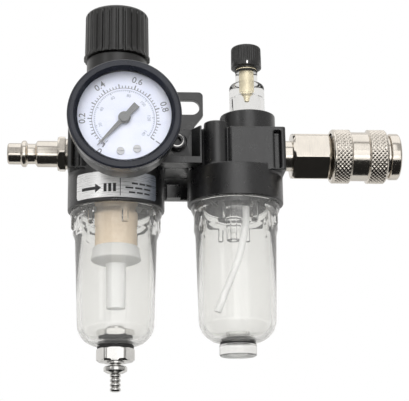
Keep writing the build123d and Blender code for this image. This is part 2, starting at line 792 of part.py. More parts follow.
drain_stem_r = 2.2
drain_bore_r = 2.6
spigot_r = 5.0
spigot_top = -74.6
drain_hex_low = -87.7
drain_hex_top = -82.4
drain_turn = -3.0        # how far its hexagon stopped from square, degrees
with BuildPart() as drain_body:
    with BuildSketch(level(reg_x, drain_hex_low)):
        RegularPolygon(7.0, 6, major_radius=False, rotation=drain_turn)
    extrude(amount=drain_hex_top - drain_hex_low)
    # chamfered corners, top and bottom
    with BuildSketch(section(reg_x)):
        Polygon(
            (0, drain_hex_low), (6.6, drain_hex_low), (7.9, drain_hex_low + 1.3),
            (7.9, drain_hex_top - 0.3), (7.5, drain_hex_top), (0, drain_hex_top), align=None,
        )
    revolve(axis=upright(reg_x), mode=Mode.INTERSECT)
    with BuildSketch(level(reg_x, drain_hex_top)):
        Circle(spigot_r)
    extrude(amount=spigot_top - drain_hex_top)
    with BuildSketch(level(reg_x, drain_hex_low - 0.6)):
        Circle(4.3)
    extrude(amount=0.6)
    with BuildSketch(level(reg_x, drain_hex_low - 0.6)):
        Circle(drain_bore_r)
    extrude(amount=spigot_top - drain_hex_low + 0.6, mode=Mode.SUBTRACT)
save(drain_body, "drain_body")

with BuildPart() as drain_nut:
    with BuildSketch(level(reg_x, -77.3)):
        RegularPolygon(6.8, 6, major_radius=False, rotation=drain_turn)
        Circle(spigot_r + 0.05, mode=Mode.SUBTRACT)
    extrude(amount=2.5)
save(drain_nut, "drain_nut")

with BuildPart() as drain_seals:
    # one ring under the nut inside the bowl, one above the hexagon outside it
    with BuildSketch(level(reg_x, reg_bowl_low + wall)):
        Circle(6.9)
        Circle(spigot_r + 0.05, mode=Mode.SUBTRACT)
    extrude(amount=2.0)
    with BuildSketch(level(reg_x, drain_hex_top)):
        Circle(7.5)
        Circle(spigot_r + 0.05, mode=Mode.SUBTRACT)
    extrude(amount=reg_bowl_low - drain_hex_top)
save(drain_seals, "drain_seals")

bead_count = 4
bead_pitch = 1.85
bead_low = -99.7
with BuildPart() as drain_stem:
    # finger ring, shank through the body, and a sealing head on top
    with BuildSketch(section(reg_x)):
        Polygon(
            (0, -92.4), (3.2, -92.4), (4.9, -91.4), (4.9, -90.0), (4.2, -89.4), (drain_stem_r, -89.4),
            (drain_stem_r, spigot_top + 0.05), (3.7, spigot_top + 0.05), (3.7, spigot_top + 1.0),
            (3.4, spigot_top + 1.3), (0, spigot_top + 1.3), align=None,
        )
    revolve(axis=upright(reg_x))
    # hose tail: a row of round beads
    for bead in range(bead_count):
        low = bead_low + bead * bead_pitch
        with BuildSketch(section(reg_x)):
            with BuildLine():
                Polyline((1.6, low), (0, low), (0, low + bead_pitch), (1.6, low + bead_pitch))
                ThreePointArc((1.6, low + bead_pitch), (2.25, low + bead_pitch / 2), (1.6, low))
            make_face()
        revolve(axis=upright(reg_x))
    with BuildSketch(level(reg_x, bead_low)):
        Circle(0.9)
    extrude(amount=18, mode=Mode.SUBTRACT)
save(drain_stem, "drain_stem")

# =====================================================================================
# Inlet plug
# =====================================================================================
with BuildPart() as inlet_plug:
    # nose, locking ridge, waist, shank, collar and thread, turned about the port axis
    with BuildSketch(port_section):
        Polygon(
            (-70.5, 2.6), (-70.5, 4.0), (-70.0, 4.5), (-64.9, 4.5), (-64.6, 5.3), (-64.2, 5.6),
            (-62.7, 5.6), (-62.2, 4.3), (-58.9, 4.3), (-58.2, 5.55), (-49.6, 5.55), (-49.6, 6.9),
            (-46.3, 6.9), (-46.3, 6.5), (-37.0, 6.5), (-37.0, 3.2), (-50, 3.2), (-52, 2.6), align=None,
        )
    revolve(axis=port_axis)
    with BuildSketch(across(-49.6)):
        RegularPolygon(7.0, 6, major_radius=False, rotation=10)
        Circle(5.0, mode=Mode.SUBTRACT)
    extrude(amount=3.1)
save(inlet_plug, "inlet_plug")

# =====================================================================================
# Lubricator: bowl, siphon, sight dome and adjuster
# =====================================================================================
lub_corner = 9.5
oil_hole_r = 5.0
lub_profile = (
    (17.54, -26.5), (17.54, -34.0), (16.95, -34.8), (16.2, -62.0),
    (16.0, lub_bowl_low + lub_corner),
)
lub_outline = bowl_outline(
    16.0, -13.5, 18.6, lub_skirt_low - 0.1, lub_profile, lub_corner, lub_bowl_low, oil_hole_r
)

with BuildPart() as oil_bowl:
    with BuildSketch(section(lub_x)):
        with BuildLine():
            add(lub_outline)
        make_face()
    revolve(axis=upright(lub_x))
    with BuildSketch(level(lub_x, -32.0)):
        with PolarLocations(17.4, rib_places, start_angle=20):
            Rectangle(1.9, 2.4)
    extrude(amount=8.5)
save(oil_bowl, "oil_bowl")

with BuildPart() as oil_bowl_seal:
    with BuildSketch(level(lub_x, -13.5)):
        Circle(16.0)
        Circle(14.2, mode=Mode.SUBTRACT)
    extrude(amount=1.4)
save(oil_bowl_seal, "oil_bowl_seal")

nub_top = lub_bowl_low - 0.9
nub_low = -85.6
with BuildPart() as oil_bowl_plug:
    with BuildSketch(section(lub_x)):
        Polygon(
            (0, nub_low), (7.2, nub_low), (7.7, nub_low + 0.5), (7.7, nub_top), (4.9, nub_top),
            (4.9, -76.0), (3.4, -76.0), (3.4, nub_top + 1), (0, nub_top + 1), align=None,
        )
    revolve(axis=upright(lub_x))
save(oil_bowl_plug, "oil_bowl_plug")

with BuildPart() as plug_seal:
    with BuildSketch(level(lub_x, nub_top)):
        Circle(7.4)
        Circle(5.0, mode=Mode.SUBTRACT)
    extrude(amount=lub_bowl_low - nub_top)
save(plug_seal, "plug_seal")

return_x = -0.9         # oil return fitting, left of the siphon tube
return_low = -36.0
with BuildPart() as return_fitting:
    # clear stepped nozzle under the body's oil boss
    with BuildSketch(section(lub_x + return_x)):
        Polygon(
            (1.2, return_low), (3.0, return_low), (3.3, return_low + 6), (3.3, boss_low - 1.6),
            (3.5, boss_low - 1.6), (3.5, boss_low), (1.2, boss_low), align=None,
        )
    revolve(axis=upright(lub_x + return_x))
save(return_fitting, "return_fitting")

siphon_bore_r = 0.9
siphon_route = (
    (lub_x + siphon_x, -standoff + siphon_y, -10.5),
    (lub_x + siphon_x, -standoff + siphon_y, -29.0),
    (lub_x + 1.0, -standoff + siphon_y - 1.5, -44.0),
    (lub_x - 8.3, -standoff + siphon_y - 1.5, -68.0),
)
with BuildPart() as siphon_tube:
    # straight socket end, then a lazy bend to the bowl's left
    with BuildLine():
        route = FilletPolyline(*siphon_route, radius=(24.0, 40.0))
    with BuildSketch(Plane(origin=route @ 0, z_dir=route % 0)):
        Circle(siphon_r - 0.02)
        Circle(siphon_bore_r, mode=Mode.SUBTRACT)
    sweep(path=route)
save(siphon_tube, "siphon_tube")

ball_r = 1.3
with BuildPart() as check_ball:
    with Locations((lub_x + dome_x, -standoff, dome_floor + ball_r)):
        Sphere(ball_r)
save(check_ball, "check_ball")

neck_r = 4.75
dome_top = 37.3
shoulder = 32.0
roof = 27.6             # top of the hollow inside
dome_low = 10.6
with BuildPart() as sight_dome:
    # flanged clear dome with a round shoulder and a neck
    with BuildSketch(section(lub_x + dome_x)):
        with BuildLine():
            Polyline((6.1, dome_low), (9.1, dome_low), (9.1, 12.8), (dome_r, 12.8), (dome_r, shoulder - 2.2))
            RadiusArc((dome_r, shoulder - 2.2), (dome_r - 2.2, shoulder), -2.2)
            Polyline(
                (dome_r - 2.2, shoulder), (neck_r, shoulder + 0.5), (neck_r, dome_top), (3.3, dome_top),
                (3.3, roof), (6.1, roof - 1.8), (6.1, dome_low),
            )
        make_face()
    revolve(axis=upright(lub_x + dome_x))
save(sight_dome, "sight_dome")

with BuildPart() as dome_ring:
    with BuildSketch(level(lub_x + dome_x, 12.9)):
        Circle(ring_r - 0.05)
        Circle(dome_r + 0.1, mode=Mode.SUBTRACT)
    extrude(amount=3.5)
    # two wrench notches
    with BuildSketch(level(lub_x + dome_x, 16.4)):
        with Locations((-8.6, 0), (8.6, 0)):
            Rectangle(2.2, 1.6)
    extrude(amount=-1.2, mode=Mode.SUBTRACT)
save(dome_ring, "dome_ring")

ring_top = 38.2
flange_top = 38.6
with BuildPart() as needle_housing:
    # flanged brass insert in the dome's neck, ending in the drip nozzle
    with BuildSketch(section(lub_x + dome_x)):
        Polygon(
            (0.4, 24.2), (1.0, 24.2), (1.5, 26.5), (2.55, 27.6), (2.55, ring_top), (4.6, ring_top),
            (4.6, flange_top), (1.0, flange_top), (1.0, 29.5), (0.4, 28.0), align=None,
        )
    revolve(axis=upright(lub_x + dome_x))
save(needle_housing, "needle_housing")

with BuildPart() as dome_seals:
    # flat ring under the dome's flange, and a round one between its neck and the insert's flange
    with BuildSketch(section(lub_x + dome_x)):
        with Locations((7.6, (dome_floor + dome_low) / 2)):
            Rectangle(2.6, dome_low - dome_floor)
        with Locations((4.05, (dome_top + ring_top) / 2)):
            RectangleRounded(1.7, ring_top - dome_top, 0.4)
    revolve(axis=upright(lub_x + dome_x))
save(dome_seals, "dome_seals")

lip_low = 38.7
drip_knob_top = 48.8
drip_knob_r = 6.55
fine_ribs = 20
with BuildPart() as drip_knob:
    with BuildSketch(section(lub_x + dome_x)):
        with BuildLine():
            Polyline(
                (0, lip_low), (5.45, lip_low), (5.45, lip_low + 0.4), (drip_knob_r, lip_low + 0.6),
                (drip_knob_r - 0.1, drip_knob_top - 1.0),
            )
            RadiusArc((drip_knob_r - 0.1, drip_knob_top - 1.0), (drip_knob_r - 1.1, drip_knob_top), -1.0)
            Polyline((drip_knob_r - 1.1, drip_knob_top), (0, drip_knob_top), (0, lip_low))
        make_face()
    revolve(axis=upright(lub_x + dome_x))
    with BuildSketch(level(lub_x + dome_x, lip_low + 2.6)):
        with PolarLocations(drip_knob_r + 0.1, fine_ribs):
            Rectangle(0.7, 0.9)
    extrude(amount=drip_knob_top - lip_low, mode=Mode.SUBTRACT)
    with BuildSketch(level(lub_x + dome_x, lip_low)):
        Circle(0.95)
    extrude(amount=6, mode=Mode.SUBTRACT)
save(drip_knob, "drip_knob")

with BuildPart() as needle_screw:
    with BuildSketch(section(lub_x + dome_x)):
        Polygon((0, 28.8), (0.95, 31.0), (0.95, lip_low + 6), (0, lip_low + 6), align=None)
    revolve(axis=upright(lub_x + dome_x))
save(needle_screw, "needle_screw")

with BuildPart() as fill_plug:
    # flush slotted head over a short thread
    with BuildSketch(section(lub_x + fill_x, fill_y)):
        Polygon(
            (0, 2.0), (2.8, 2.0), (3.25, 2.5), (3.25, fill_top - 2.2), (4.3, fill_top - 2.2),
            (4.3, fill_top - 0.4), (4.0, fill_top - 0.1), (0, fill_top - 0.1), align=None,
        )
    revolve(axis=upright(lub_x + fill_x, fill_y))
    with BuildSketch(level(lub_x + fill_x, fill_top, fill_y)):
        Rectangle(6.4, 1.2, rotation=30)
    extrude(amount=-1.3, mode=Mode.SUBTRACT)
save(fill_plug, "fill_plug")

# =====================================================================================
# Outlet coupler
# =====================================================================================
hex_near = 49.2
hex_far = 64.4
cone_end = 66.0
tube_r = 8.2
tube_end = 90.1
nose_far = 95.4
socket_r = 5.75
socket_in = 76.2
valve_seat = 67.7
ball_place = 84.2
hex_turn = 17.0         # how far the hexagon stopped from square, degrees

with BuildPart() as coupler_body:
    with BuildSketch(port_section):
        Polygon(
            (37.0, 3.6), (37.0, 6.5), (hex_near, 6.5), (hex_near, 8.6), (hex_far, 8.6), (hex_far, 9.3),
            (cone_end, 8.9), (cone_end, tube_r), (tube_end, tube_r), (tube_end, socket_r),
            (socket_in, socket_r), (socket_in, 6.0), (valve_seat, 6.0), (valve_seat, 3.6), align=None,
        )
    revolve(axis=port_axis)
    with BuildSketch(across(hex_near)):
        RegularPolygon(hex_af / 2, 6, major_radius=False, rotation=hex_turn)
        Circle(8.0, mode=Mode.SUBTRACT)
    extrude(amount=hex_far - hex_near)
    # chamfer on the near end of the hexagon
    with BuildSketch(port_section):
        Polygon((hex_near, 9.6), (hex_near + 1.6, 11.2), (hex_near, 11.2), align=None)
    revolve(axis=port_axis, mode=Mode.SUBTRACT)
    # holes for the locking balls
    with BuildSketch(Plane(origin=(ball_place, -standoff, 0), x_dir=(1, 0, 0), z_dir=(0, 0, 1))):
        Circle(1.65)
    extrude(amount=10, both=True, mode=Mode.SUBTRACT)
    with BuildSketch(Plane(origin=(ball_place, -standoff, 0), x_dir=(1, 0, 0), z_dir=(0, 1, 0))):
        Circle(1.65)
    extrude(amount=10, both=True, mode=Mode.SUBTRACT)
save(coupler_body, "coupler_body")

with BuildPart() as coupler_nose:
    # end ring on the tube: keeps the sleeve on and guides the plug in
    with BuildSketch(port_section):
        Polygon(
            (tube_end, 6.1), (tube_end, 8.6), (tube_end + 0.8, 8.6), (tube_end + 0.8, 9.5),
            (tube_end + 1.3, 9.95), (nose_far - 0.6, 9.95), (nose_far, 9.3), (nose_far, 6.5),
            (nose_far - 1.0, 6.1), align=None,
        )
    revolve(axis=port_axis)
save(coupler_nose, "coupler_nose")

knurl_in = 73.9
waist_far = 81.8
sleeve_near = 66.1
sleeve_far = 89.5
spring_room = 78.2
with BuildPart() as coupler_sleeve:
    with BuildSketch(port_section):
        Polygon(
            (sleeve_near, 9.9), (sleeve_near, 11.1), (sleeve_near + 0.5, sleeve_r), (knurl_in, sleeve_r),
            (knurl_in + 0.3, 10.5), (waist_far - 0.3, 10.5), (waist_far, sleeve_r),
            (sleeve_far - 0.5, sleeve_r), (sleeve_far, 11.1), (sleeve_far, 9.6), (sleeve_far - 1.8, 9.6),
            (sleeve_far - 3.3, tube_r + fit), (spring_room, tube_r + fit), (spring_room, 9.9), align=None,
        )
    revolve(axis=port_axis)
save(coupler_sleeve, "coupler_sleeve")

with BuildPart() as coupler_springs:
    # the sleeve's spring round the tube, and the valve's spring inside it
    for turns, height, mean_r, wire_r, start in ((4, 9.6, 9.05, 0.55, 67.4), (3, 3.6, 4.2, 0.4, 68.25)):
        with BuildLine():
            turned = Helix(
                pitch=height / turns, height=height, radius=mean_r,
                center=(start, -standoff, 0), direction=(1, 0, 0),
            )
        with BuildSketch(Plane(origin=turned @ 0, z_dir=turned % 0)):
            Circle(wire_r)
        sweep(path=turned, is_frenet=True)
save(coupler_springs, "coupler_springs")

with BuildPart() as locking_balls:
    for turn in range(4):
        angle = radians(90 * turn)
        with Locations((ball_place, -standoff + 6.6 * cos(angle), 6.6 * sin(angle))):
            Sphere(1.55)
save(locking_balls, "locking_balls")

with BuildPart() as coupler_valve:
    # shut-off poppet that the plug pushes back
    with BuildSketch(port_section):
        Polygon(
            (72.4, 0), (72.4, 5.0), (74.5, 5.0), (75.6, 4.0), (75.6, 3.0), (77.7, 3.0), (77.7, 0),
            align=None,
        )
    revolve(axis=port_axis)
save(coupler_valve, "coupler_valve")

with BuildPart() as coupler_seal:
    with BuildSketch(across(75.7)):
        Circle(5.95)
        Circle(4.4, mode=Mode.SUBTRACT)
    extrude(amount=0.5)
save(coupler_seal, "coupler_seal")
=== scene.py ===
"""Filter regulator and lubricator set: the looks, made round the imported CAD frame.

Lengths are millimetres in the frame's own axes (+X along the ports, +Y into the wall, +Z up) until a
vertex is made. A turned piece is a closed outline of (radius, place along its axis), revolved about a
Spindle. The axes and the ends of most pieces are read from the CAD nodes' boxes.
"""
import json
from math import cos, degrees, floor, pi, radians, sin

import bmesh
import bpy
from mathutils import Matrix, Vector

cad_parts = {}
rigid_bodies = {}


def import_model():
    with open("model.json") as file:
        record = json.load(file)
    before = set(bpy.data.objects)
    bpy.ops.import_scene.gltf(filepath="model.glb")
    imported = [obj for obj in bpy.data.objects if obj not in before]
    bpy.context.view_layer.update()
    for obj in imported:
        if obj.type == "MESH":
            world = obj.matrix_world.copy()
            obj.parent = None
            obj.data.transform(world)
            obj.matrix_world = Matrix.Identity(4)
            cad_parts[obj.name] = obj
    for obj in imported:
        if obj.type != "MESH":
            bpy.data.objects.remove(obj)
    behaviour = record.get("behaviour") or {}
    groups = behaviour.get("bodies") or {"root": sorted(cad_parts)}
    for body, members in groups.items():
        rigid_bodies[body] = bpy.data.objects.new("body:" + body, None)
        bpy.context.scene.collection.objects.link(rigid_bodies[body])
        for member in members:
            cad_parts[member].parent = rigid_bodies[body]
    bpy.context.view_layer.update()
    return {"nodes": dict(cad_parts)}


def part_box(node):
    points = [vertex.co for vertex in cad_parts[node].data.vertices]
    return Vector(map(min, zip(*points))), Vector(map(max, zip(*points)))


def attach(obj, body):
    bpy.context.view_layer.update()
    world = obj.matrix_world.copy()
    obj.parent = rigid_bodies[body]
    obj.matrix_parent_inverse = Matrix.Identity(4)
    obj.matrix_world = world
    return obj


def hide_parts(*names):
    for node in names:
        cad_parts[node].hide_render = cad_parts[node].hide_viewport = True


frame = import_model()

MM = 0.001
TURN = 2 * pi
EDGE = 0.18                 # usual rounding of a turned corner
SMOOTH_ANGLE = radians(32)  # edges sharper than this stay sharp in the shading

nodes = frame["nodes"]
SLOTS = {name: node.data.materials[0].name for name, node in nodes.items()}


# =====================================================================================
# Places
# =====================================================================================
def box_mm(node):
    """A CAD node's lowest and highest corner, in millimetres."""
    low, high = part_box(node)
    return low / MM, high / MM


def centre_of(node):
    """The middle of a CAD node's box, in millimetres."""
    low, high = box_mm(node)
    return (low + high) / 2


class Spindle:
    """An axis that pieces are turned about. Places along it are the frame's own coordinates."""

    def __init__(self, node, along, zero):
        self.along = Vector(along)
        self.zero = Vector(zero)
        self.side = self.along.cross(self.zero)
        centre = centre_of(node)
        self.foot = centre - self.along * centre.dot(self.along)

    def at(self, place, radius, angle):
        """The point, in metres, at a place along the axis, a radius and an angle from the zero direction."""
        out = self.zero * cos(angle) + self.side * sin(angle)
        return (self.foot + self.along * place + out * radius) * MM

    def span(self, node):
        """Where a CAD node starts and ends along this axis."""
        low, high = box_mm(node)
        ends = sorted((low.dot(self.along), high.dot(self.along)))
        return ends[0], ends[1]


UP = (0, 0, 1)
RIGHT = (1, 0, 0)
FORWARD = (0, -1, 0)
regulator = Spindle("filter_bowl", UP, RIGHT)
lubricator = Spindle("oil_bowl", UP, RIGHT)
dome = Spindle("sight_dome", UP, RIGHT)
nozzle = Spindle("return_fitting", UP, RIGHT)
gauge = Spindle("gauge_bezel", FORWARD, RIGHT)
port = Spindle("coupler_nose", RIGHT, (0, 1, 0))
stop = Spindle("stop_pin", FORWARD, RIGHT)


# =====================================================================================
# Mesh tools
# =====================================================================================
def arc(middle_r, middle_z, radius, start, end, steps=8):
    """Points on an arc in the section plane, angles in degrees from the radius direction."""
    return [
        (
            middle_r + radius * cos(radians(start + (end - start) * i / steps)),
            middle_z + radius * sin(radians(start + (end - start) * i / steps)),
        )
        for i in range(steps + 1)
    ]


def soften(outline, edge):
    """Rounds an outline's corners. A third number in a point is that corner's own rounding."""
    count = len(outline)
    path = []
    for i, point in enumerate(outline):
        here = Vector(point[:2])
        before = Vector(outline[i - 1][:2]) - here
        after = Vector(outline[(i + 1) % count][:2]) - here
        size = point[2] if len(point) > 2 else edge
        if here.x < 1e-6 or before.length < 1e-6 or after.length < 1e-6 or size == 0:
            path.append(here)
            continue
        if degrees(pi - before.angle(after)) < 25:
            path.append(here)
            continue
        a = here + before.normalized() * min(size, 0.45 * before.length)
        b = here + after.normalized() * min(size, 0.45 * after.length)
        steps = 3 if size <= 0.3 else 5
        for k in range(steps + 1):
            t = k / steps
            path.append(a * (1 - t) ** 2 + here * 2 * t * (1 - t) + b * t ** 2)
    return path


def divide(path, longest, low, high):
    """Splits the stretches between two heights, so that a shape can be pressed into them."""
    fine = []
    for i, here in enumerate(path):
        fine.append(here)
        there = path[(i + 1) % len(path)]
        if min(here.x, there.x) < 1e-6 and i == len(path) - 1:
            continue
        inside = max(here.y, there.y) > low and min(here.y, there.y) < high
        parts = int((there - here).length / longest) + 1 if inside else 1
        fine.extend(here.lerp(there, k / parts) for k in range(1, parts))
    return fine


def new_object(name, mesh):
    """An object for a mesh, in the scene, with its shading smooth up to the sharp edges."""
    mesh.shade_smooth()
    mesh.set_sharp_from_angle(angle=SMOOTH_ANGLE)
    piece = bpy.data.objects.new(name, mesh)
    bpy.context.scene.collection.objects.link(piece)
    return piece


def object_from(name, bm):
    """Turns a finished bmesh into an object, with its faces turned outwards."""
    bmesh.ops.recalc_face_normals(bm, faces=bm.faces)
    mesh = bpy.data.meshes.new(name)
    bm.to_mesh(mesh)
    bm.free()
    return new_object(name, mesh)


def add_turned(bm, spindle, path, steps, start, shape):
    """Adds one closed turned solid to a bmesh."""
    rings = []
    for point in path:
        if point.x < 1e-6:
            rings.append([bm.verts.new(spindle.at(point.y, 0, 0))])
            continue
        ring = []
        for i in range(steps):
            angle = start + TURN * i / steps
            radius = shape(angle, point.y, point.x) if shape else point.x
            ring.append(bm.verts.new(spindle.at(point.y, radius, angle)))
        rings.append(ring)
    for k, ring in enumerate(rings):
        other = rings[(k + 1) % len(rings)]
        if len(ring) == 1 and len(other) == 1:
            continue
        for i in range(steps):
            j = (i + 1) % steps
            if len(ring) == 1:
                bm.faces.new((ring[0], other[j], other[i]))
            elif len(other) == 1:
                bm.faces.new((ring[i], ring[j], other[0]))
            else:
                bm.faces.new((ring[i], ring[j], other[j], other[i]))


def turned(name, spindle, outline, steps=96, start=0.0, shape=None, fine=None, edge=EDGE):
    """A turned piece. fine = (longest, low, high) divides its outline where shape needs it."""
    path = soften(outline, edge)
    if fine:
        path = divide(path, *fine)
    bm = bmesh.new()
    add_turned(bm, spindle, path, steps, start, shape)
    return object_from(name, bm)


def hexagon(across_flats, turn):
    """Shape that trims a radius to a hexagon; turn is where a flat faces, in radians."""
    sixth = TURN / 6

    def trim(angle, place, radius):
        off = (angle - turn + sixth / 2) % sixth - sixth / 2
        return min(radius, across_flats / 2 / cos(off))

    return trim


def only(trim, low, high, least=0.0):
    """A shape that works between two places along the axis, outside a least radius."""
    def shape(angle, place, radius):
        if low <= place <= high and radius > least:
            return trim(angle, place, radius)
        return radius

    return shape


def ease(value):
    """0 below 0, 1 above 1, smooth between."""
    t = min(1.0, max(0.0, value))
    return t * t * (3 - 2 * t)


def groove(value, width):
    """1 at each whole number, falling to 0 a width away."""
    return max(0.0, 1 - abs(value - floor(value + 0.5)) / width)


def cad_copy(name, node):
    """A CAD node's mesh as a new object, with its seams joined."""
    bm = bmesh.new()
    bm.from_mesh(nodes[node].data)
    bmesh.ops.remove_doubles(bm, verts=bm.verts, dist=2e-6)
    mesh = bpy.data.meshes.new(name)
    bm.to_mesh(mesh)
    bm.free()
    return new_object(name, mesh)


def applied(piece):
    """The piece with its modifiers made part of its mesh."""
    graph = bpy.context.evaluated_depsgraph_get()
    mesh = bpy.data.meshes.new_from_object(piece.evaluated_get(graph))
    piece.modifiers.clear()
    piece.data = mesh
    mesh.shade_smooth()
    mesh.set_sharp_from_angle(angle=SMOOTH_ANGLE)
    return piece


def cast(name, node, voxel=0.36, rounds=5):
    """A CAD body with the soft edges and corners of a painted casting."""
    piece = cad_copy(name, node)
    remesh = piece.modifiers.new("remesh", "REMESH")
    remesh.mode = "VOXEL"
    remesh.voxel_size = voxel * MM
    relax = piece.modifiers.new("relax", "SMOOTH")
    relax.factor = 0.5
    relax.iterations = rounds
    applied(piece)
    piece.data.set_sharp_from_angle(angle=radians(80))
    return piece


def machined(name, node, width=0.25, segments=2):
    """A CAD piece with small bevels on its edges."""
    piece = cad_copy(name, node)
    bm = bmesh.new()
    bm.from_mesh(piece.data)
    bmesh.ops.dissolve_limit(bm, angle_limit=radians(0.5), verts=bm.verts, edges=bm.edges)
    bm.to_mesh(piece.data)
    bm.free()
    bevel = piece.modifiers.new("bevel", "BEVEL")
    bevel.width = width * MM
    bevel.segments = segments
    bevel.limit_method = "ANGLE"
    bevel.angle_limit = SMOOTH_ANGLE
    bevel.harden_normals = True
    return piece


def add_ribbon(bm, place, columns, near, far):
    """Adds a thin closed plate. place(along, across, depth) gives a point; columns are
    (along, lower edge, upper edge), and near and far are its two faces' depths."""
    rows = []
    for along, low, high in columns:
        corners = ((low, near), (high, near), (high, far), (low, far))
        rows.append([bm.verts.new(place(along, across, depth)) for across, depth in corners])
    for first, second in zip(rows, rows[1:]):
        for i in range(4):
            j = (i + 1) % 4
            bm.faces.new((first[i], first[j], second[j], second[i]))
    bm.faces.new(rows[0])
    bm.faces.new(list(reversed(rows[-1])))


# =====================================================================================
# Materials
# =====================================================================================
def principled(name, colour, roughness, **values):
    """A material with one Principled shader, its plain values set on the shader's own sockets."""
    material = bpy.data.materials.new("look_" + name)
    material.use_nodes = True
    shader = material.node_tree.nodes["Principled BSDF"]
    shader.inputs["Base Color"].default_value = (*colour, 1)
    shader.inputs["Roughness"].default_value = roughness
    for socket, value in values.items():
        shader.inputs[socket.replace("_", " ")].default_value = value
    return material, material.node_tree, shader


def noise(tree, size, detail=3.0, stretch=(1, 1, 1)):
    """Noise with features of about that size, in millimetres, fixed to the object."""
    coordinates = tree.nodes.new("ShaderNodeTexCoord")
    mapping = tree.nodes.new("ShaderNodeMapping")
    mapping.inputs["Scale"].default_value = [s / (size * MM) for s in stretch]
    texture = tree.nodes.new("ShaderNodeTexNoise")
    texture.inputs["Scale"].default_value = 1.0
    texture.inputs["Detail"].default_value = detail
    tree.links.new(coordinates.outputs["Object"], mapping.inputs["Vector"])
    tree.links.new(mapping.outputs["Vector"], texture.inputs["Vector"])
    return texture.outputs["Fac"]


def spread(tree, source, socket, low, high, start=0.3, end=0.7):
    """Drives a socket from low to high as the source goes from start to end."""
    ranged = tree.nodes.new("ShaderNodeMapRange")
    ranged.inputs["From Min"].default_value = start
    ranged.inputs["From Max"].default_value = end
    ranged.inputs["To Min"].default_value = low
    ranged.inputs["To Max"].default_value = high
    tree.links.new(source, ranged.inputs["Value"])
    if socket is not None:
        tree.links.new(ranged.outputs["Result"], socket)
    return ranged.outputs["Result"]


def tint(tree, source, socket, first, second, start=0.3, end=0.7):
    """Drives a colour socket between two colours."""
    ramp = tree.nodes.new("ShaderNodeValToRGB")
    ramp.color_ramp.elements[0].position = start
    ramp.color_ramp.elements[0].color = (*first, 1)
    ramp.color_ramp.elements[1].position = end
    ramp.color_ramp.elements[1].color = (*second, 1)
    tree.links.new(source, ramp.inputs["Fac"])
    tree.links.new(ramp.outputs["Color"], socket)


def relief(tree, shader, source, height, strength=1.0):
    """Bumps the surface by a height in millimetres."""
    bump = tree.nodes.new("ShaderNodeBump")
    bump.inputs["Distance"].default_value = height * MM
    bump.inputs["Strength"].default_value = strength
    tree.links.new(source, bump.inputs["Height"])
    tree.links.new(bump.outputs["Normal"], shader.inputs["Normal"])


def distance_in(tree, axis, start, end):
    """0 at one place along a frame axis and 1 at another, in millimetres."""
    coordinates = tree.nodes.new("ShaderNodeTexCoord")
    split = tree.nodes.new("ShaderNodeSeparateXYZ")
    tree.links.new(coordinates.outputs["Object"], split.inputs["Vector"])
    return spread(tree, split.outputs[axis], None, 0, 1, start * MM, end * MM)


def painted(name, dark, light, rough, grain, height, shine=0.5):
    """Black paint or moulded plastic: fine grain, uneven gloss and a slight change of shade."""
    material, tree, shader = principled(name, dark, rough, Specular_IOR_Level=shine)
    tint(tree, noise(tree, 9.0), shader.inputs["Base Color"], dark, light)
    spread(tree, noise(tree, 3.5, 4.0), shader.inputs["Roughness"], rough - 0.05, rough + 0.06)
    relief(tree, shader, noise(tree, grain, 2.0), height)
    return material


def plated(name, colour, rough, stretch, wear=0.06, line=0.16, metal=1.0):
    """Metal, plated or bare, with fine lathe lines along one direction and soft stains."""
    material, tree, shader = principled(name, colour, rough, Metallic=metal)
    shade = [c * 0.9 for c in colour]
    tint(tree, noise(tree, 6.0, 4.0), shader.inputs["Base Color"], shade, colour)
    lines = noise(tree, line, 2.0, stretch)
    spread(tree, lines, shader.inputs["Roughness"], rough - wear / 2, rough + wear)
    relief(tree, shader, lines, 0.0025)
    return material


def clear(name, colour, rough_top, rough_low, top, low, milk, bend=1.5):
    """Clear plastic that is polished above one height and frosted below another."""
    material, tree, shader = principled(name, colour, rough_low, IOR=bend)
    shader.inputs["Transmission Weight"].default_value = 1 - milk
    down = distance_in(tree, "Z", top, low)
    spread(tree, down, shader.inputs["Roughness"], rough_top, rough_low, 0, 1)
    flow = noise(tree, 9.0, 1.0, (1, 1, 0.12))
    relief(tree, shader, flow, 0.012)
    return material


def sintered():
    """Sintered bronze-coloured beads pressed into a porous sleeve, each bead lighter in its middle and darker
    towards the gaps between beads as painted shade.
    """
    material, tree, shader = principled("element_beige", (0.78, 0.6, 0.42), 0.75)
    cells = tree.nodes.new("ShaderNodeTexVoronoi")
    cells.inputs["Scale"].default_value = 1 / (0.45 * MM)
    coordinates = tree.nodes.new("ShaderNodeTexCoord")
    tree.links.new(coordinates.outputs["Object"], cells.inputs["Vector"])
    bead, pore_shade = (0.93, 0.78, 0.58), (0.78, 0.6, 0.42)
    # painted shade: the colour darkens from each bead's middle into the gaps between the beads
    tint(tree, cells.outputs["Distance"], shader.inputs["Base Color"], bead, pore_shade, 0.1, 0.8)
    relief(tree, shader, cells.outputs["Distance"], 0.12)
    return material


def label_metal_painted_reflection():
    """Brushed aluminium foil with a painted reflection: light silver at its left end, darker and bluer
    towards its right end.
    """
    material, tree, shader = principled("label_silver", (0.8, 0.81, 0.83), 0.3, Metallic=0.55)
    brushed = noise(tree, 0.25, 2.0, (0.03, 0.03, 1))
    middle = regulator.foot.x
    right = distance_in(tree, "X", middle, middle + 15)
    # painted reflection: the colour runs from light silver to dark blue-grey along X, standing in for what
    # the foil mirrors
    tint(tree, right, shader.inputs["Base Color"], (0.93, 0.93, 0.93), (0.2, 0.22, 0.26), 0, 1)
    spread(tree, brushed, shader.inputs["Roughness"], 0.24, 0.38)
    return material


def dial_paint():
    """Bluish white dial paint with a faint orange-peel skin."""
    material, tree, shader = principled("dial_white", (0.8, 0.83, 0.95), 0.4)
    tint(tree, noise(tree, 7.0), shader.inputs["Base Color"], (0.78, 0.81, 0.94), (0.84, 0.86, 0.95))
    relief(tree, shader, noise(tree, 0.4), 0.004)
    return material


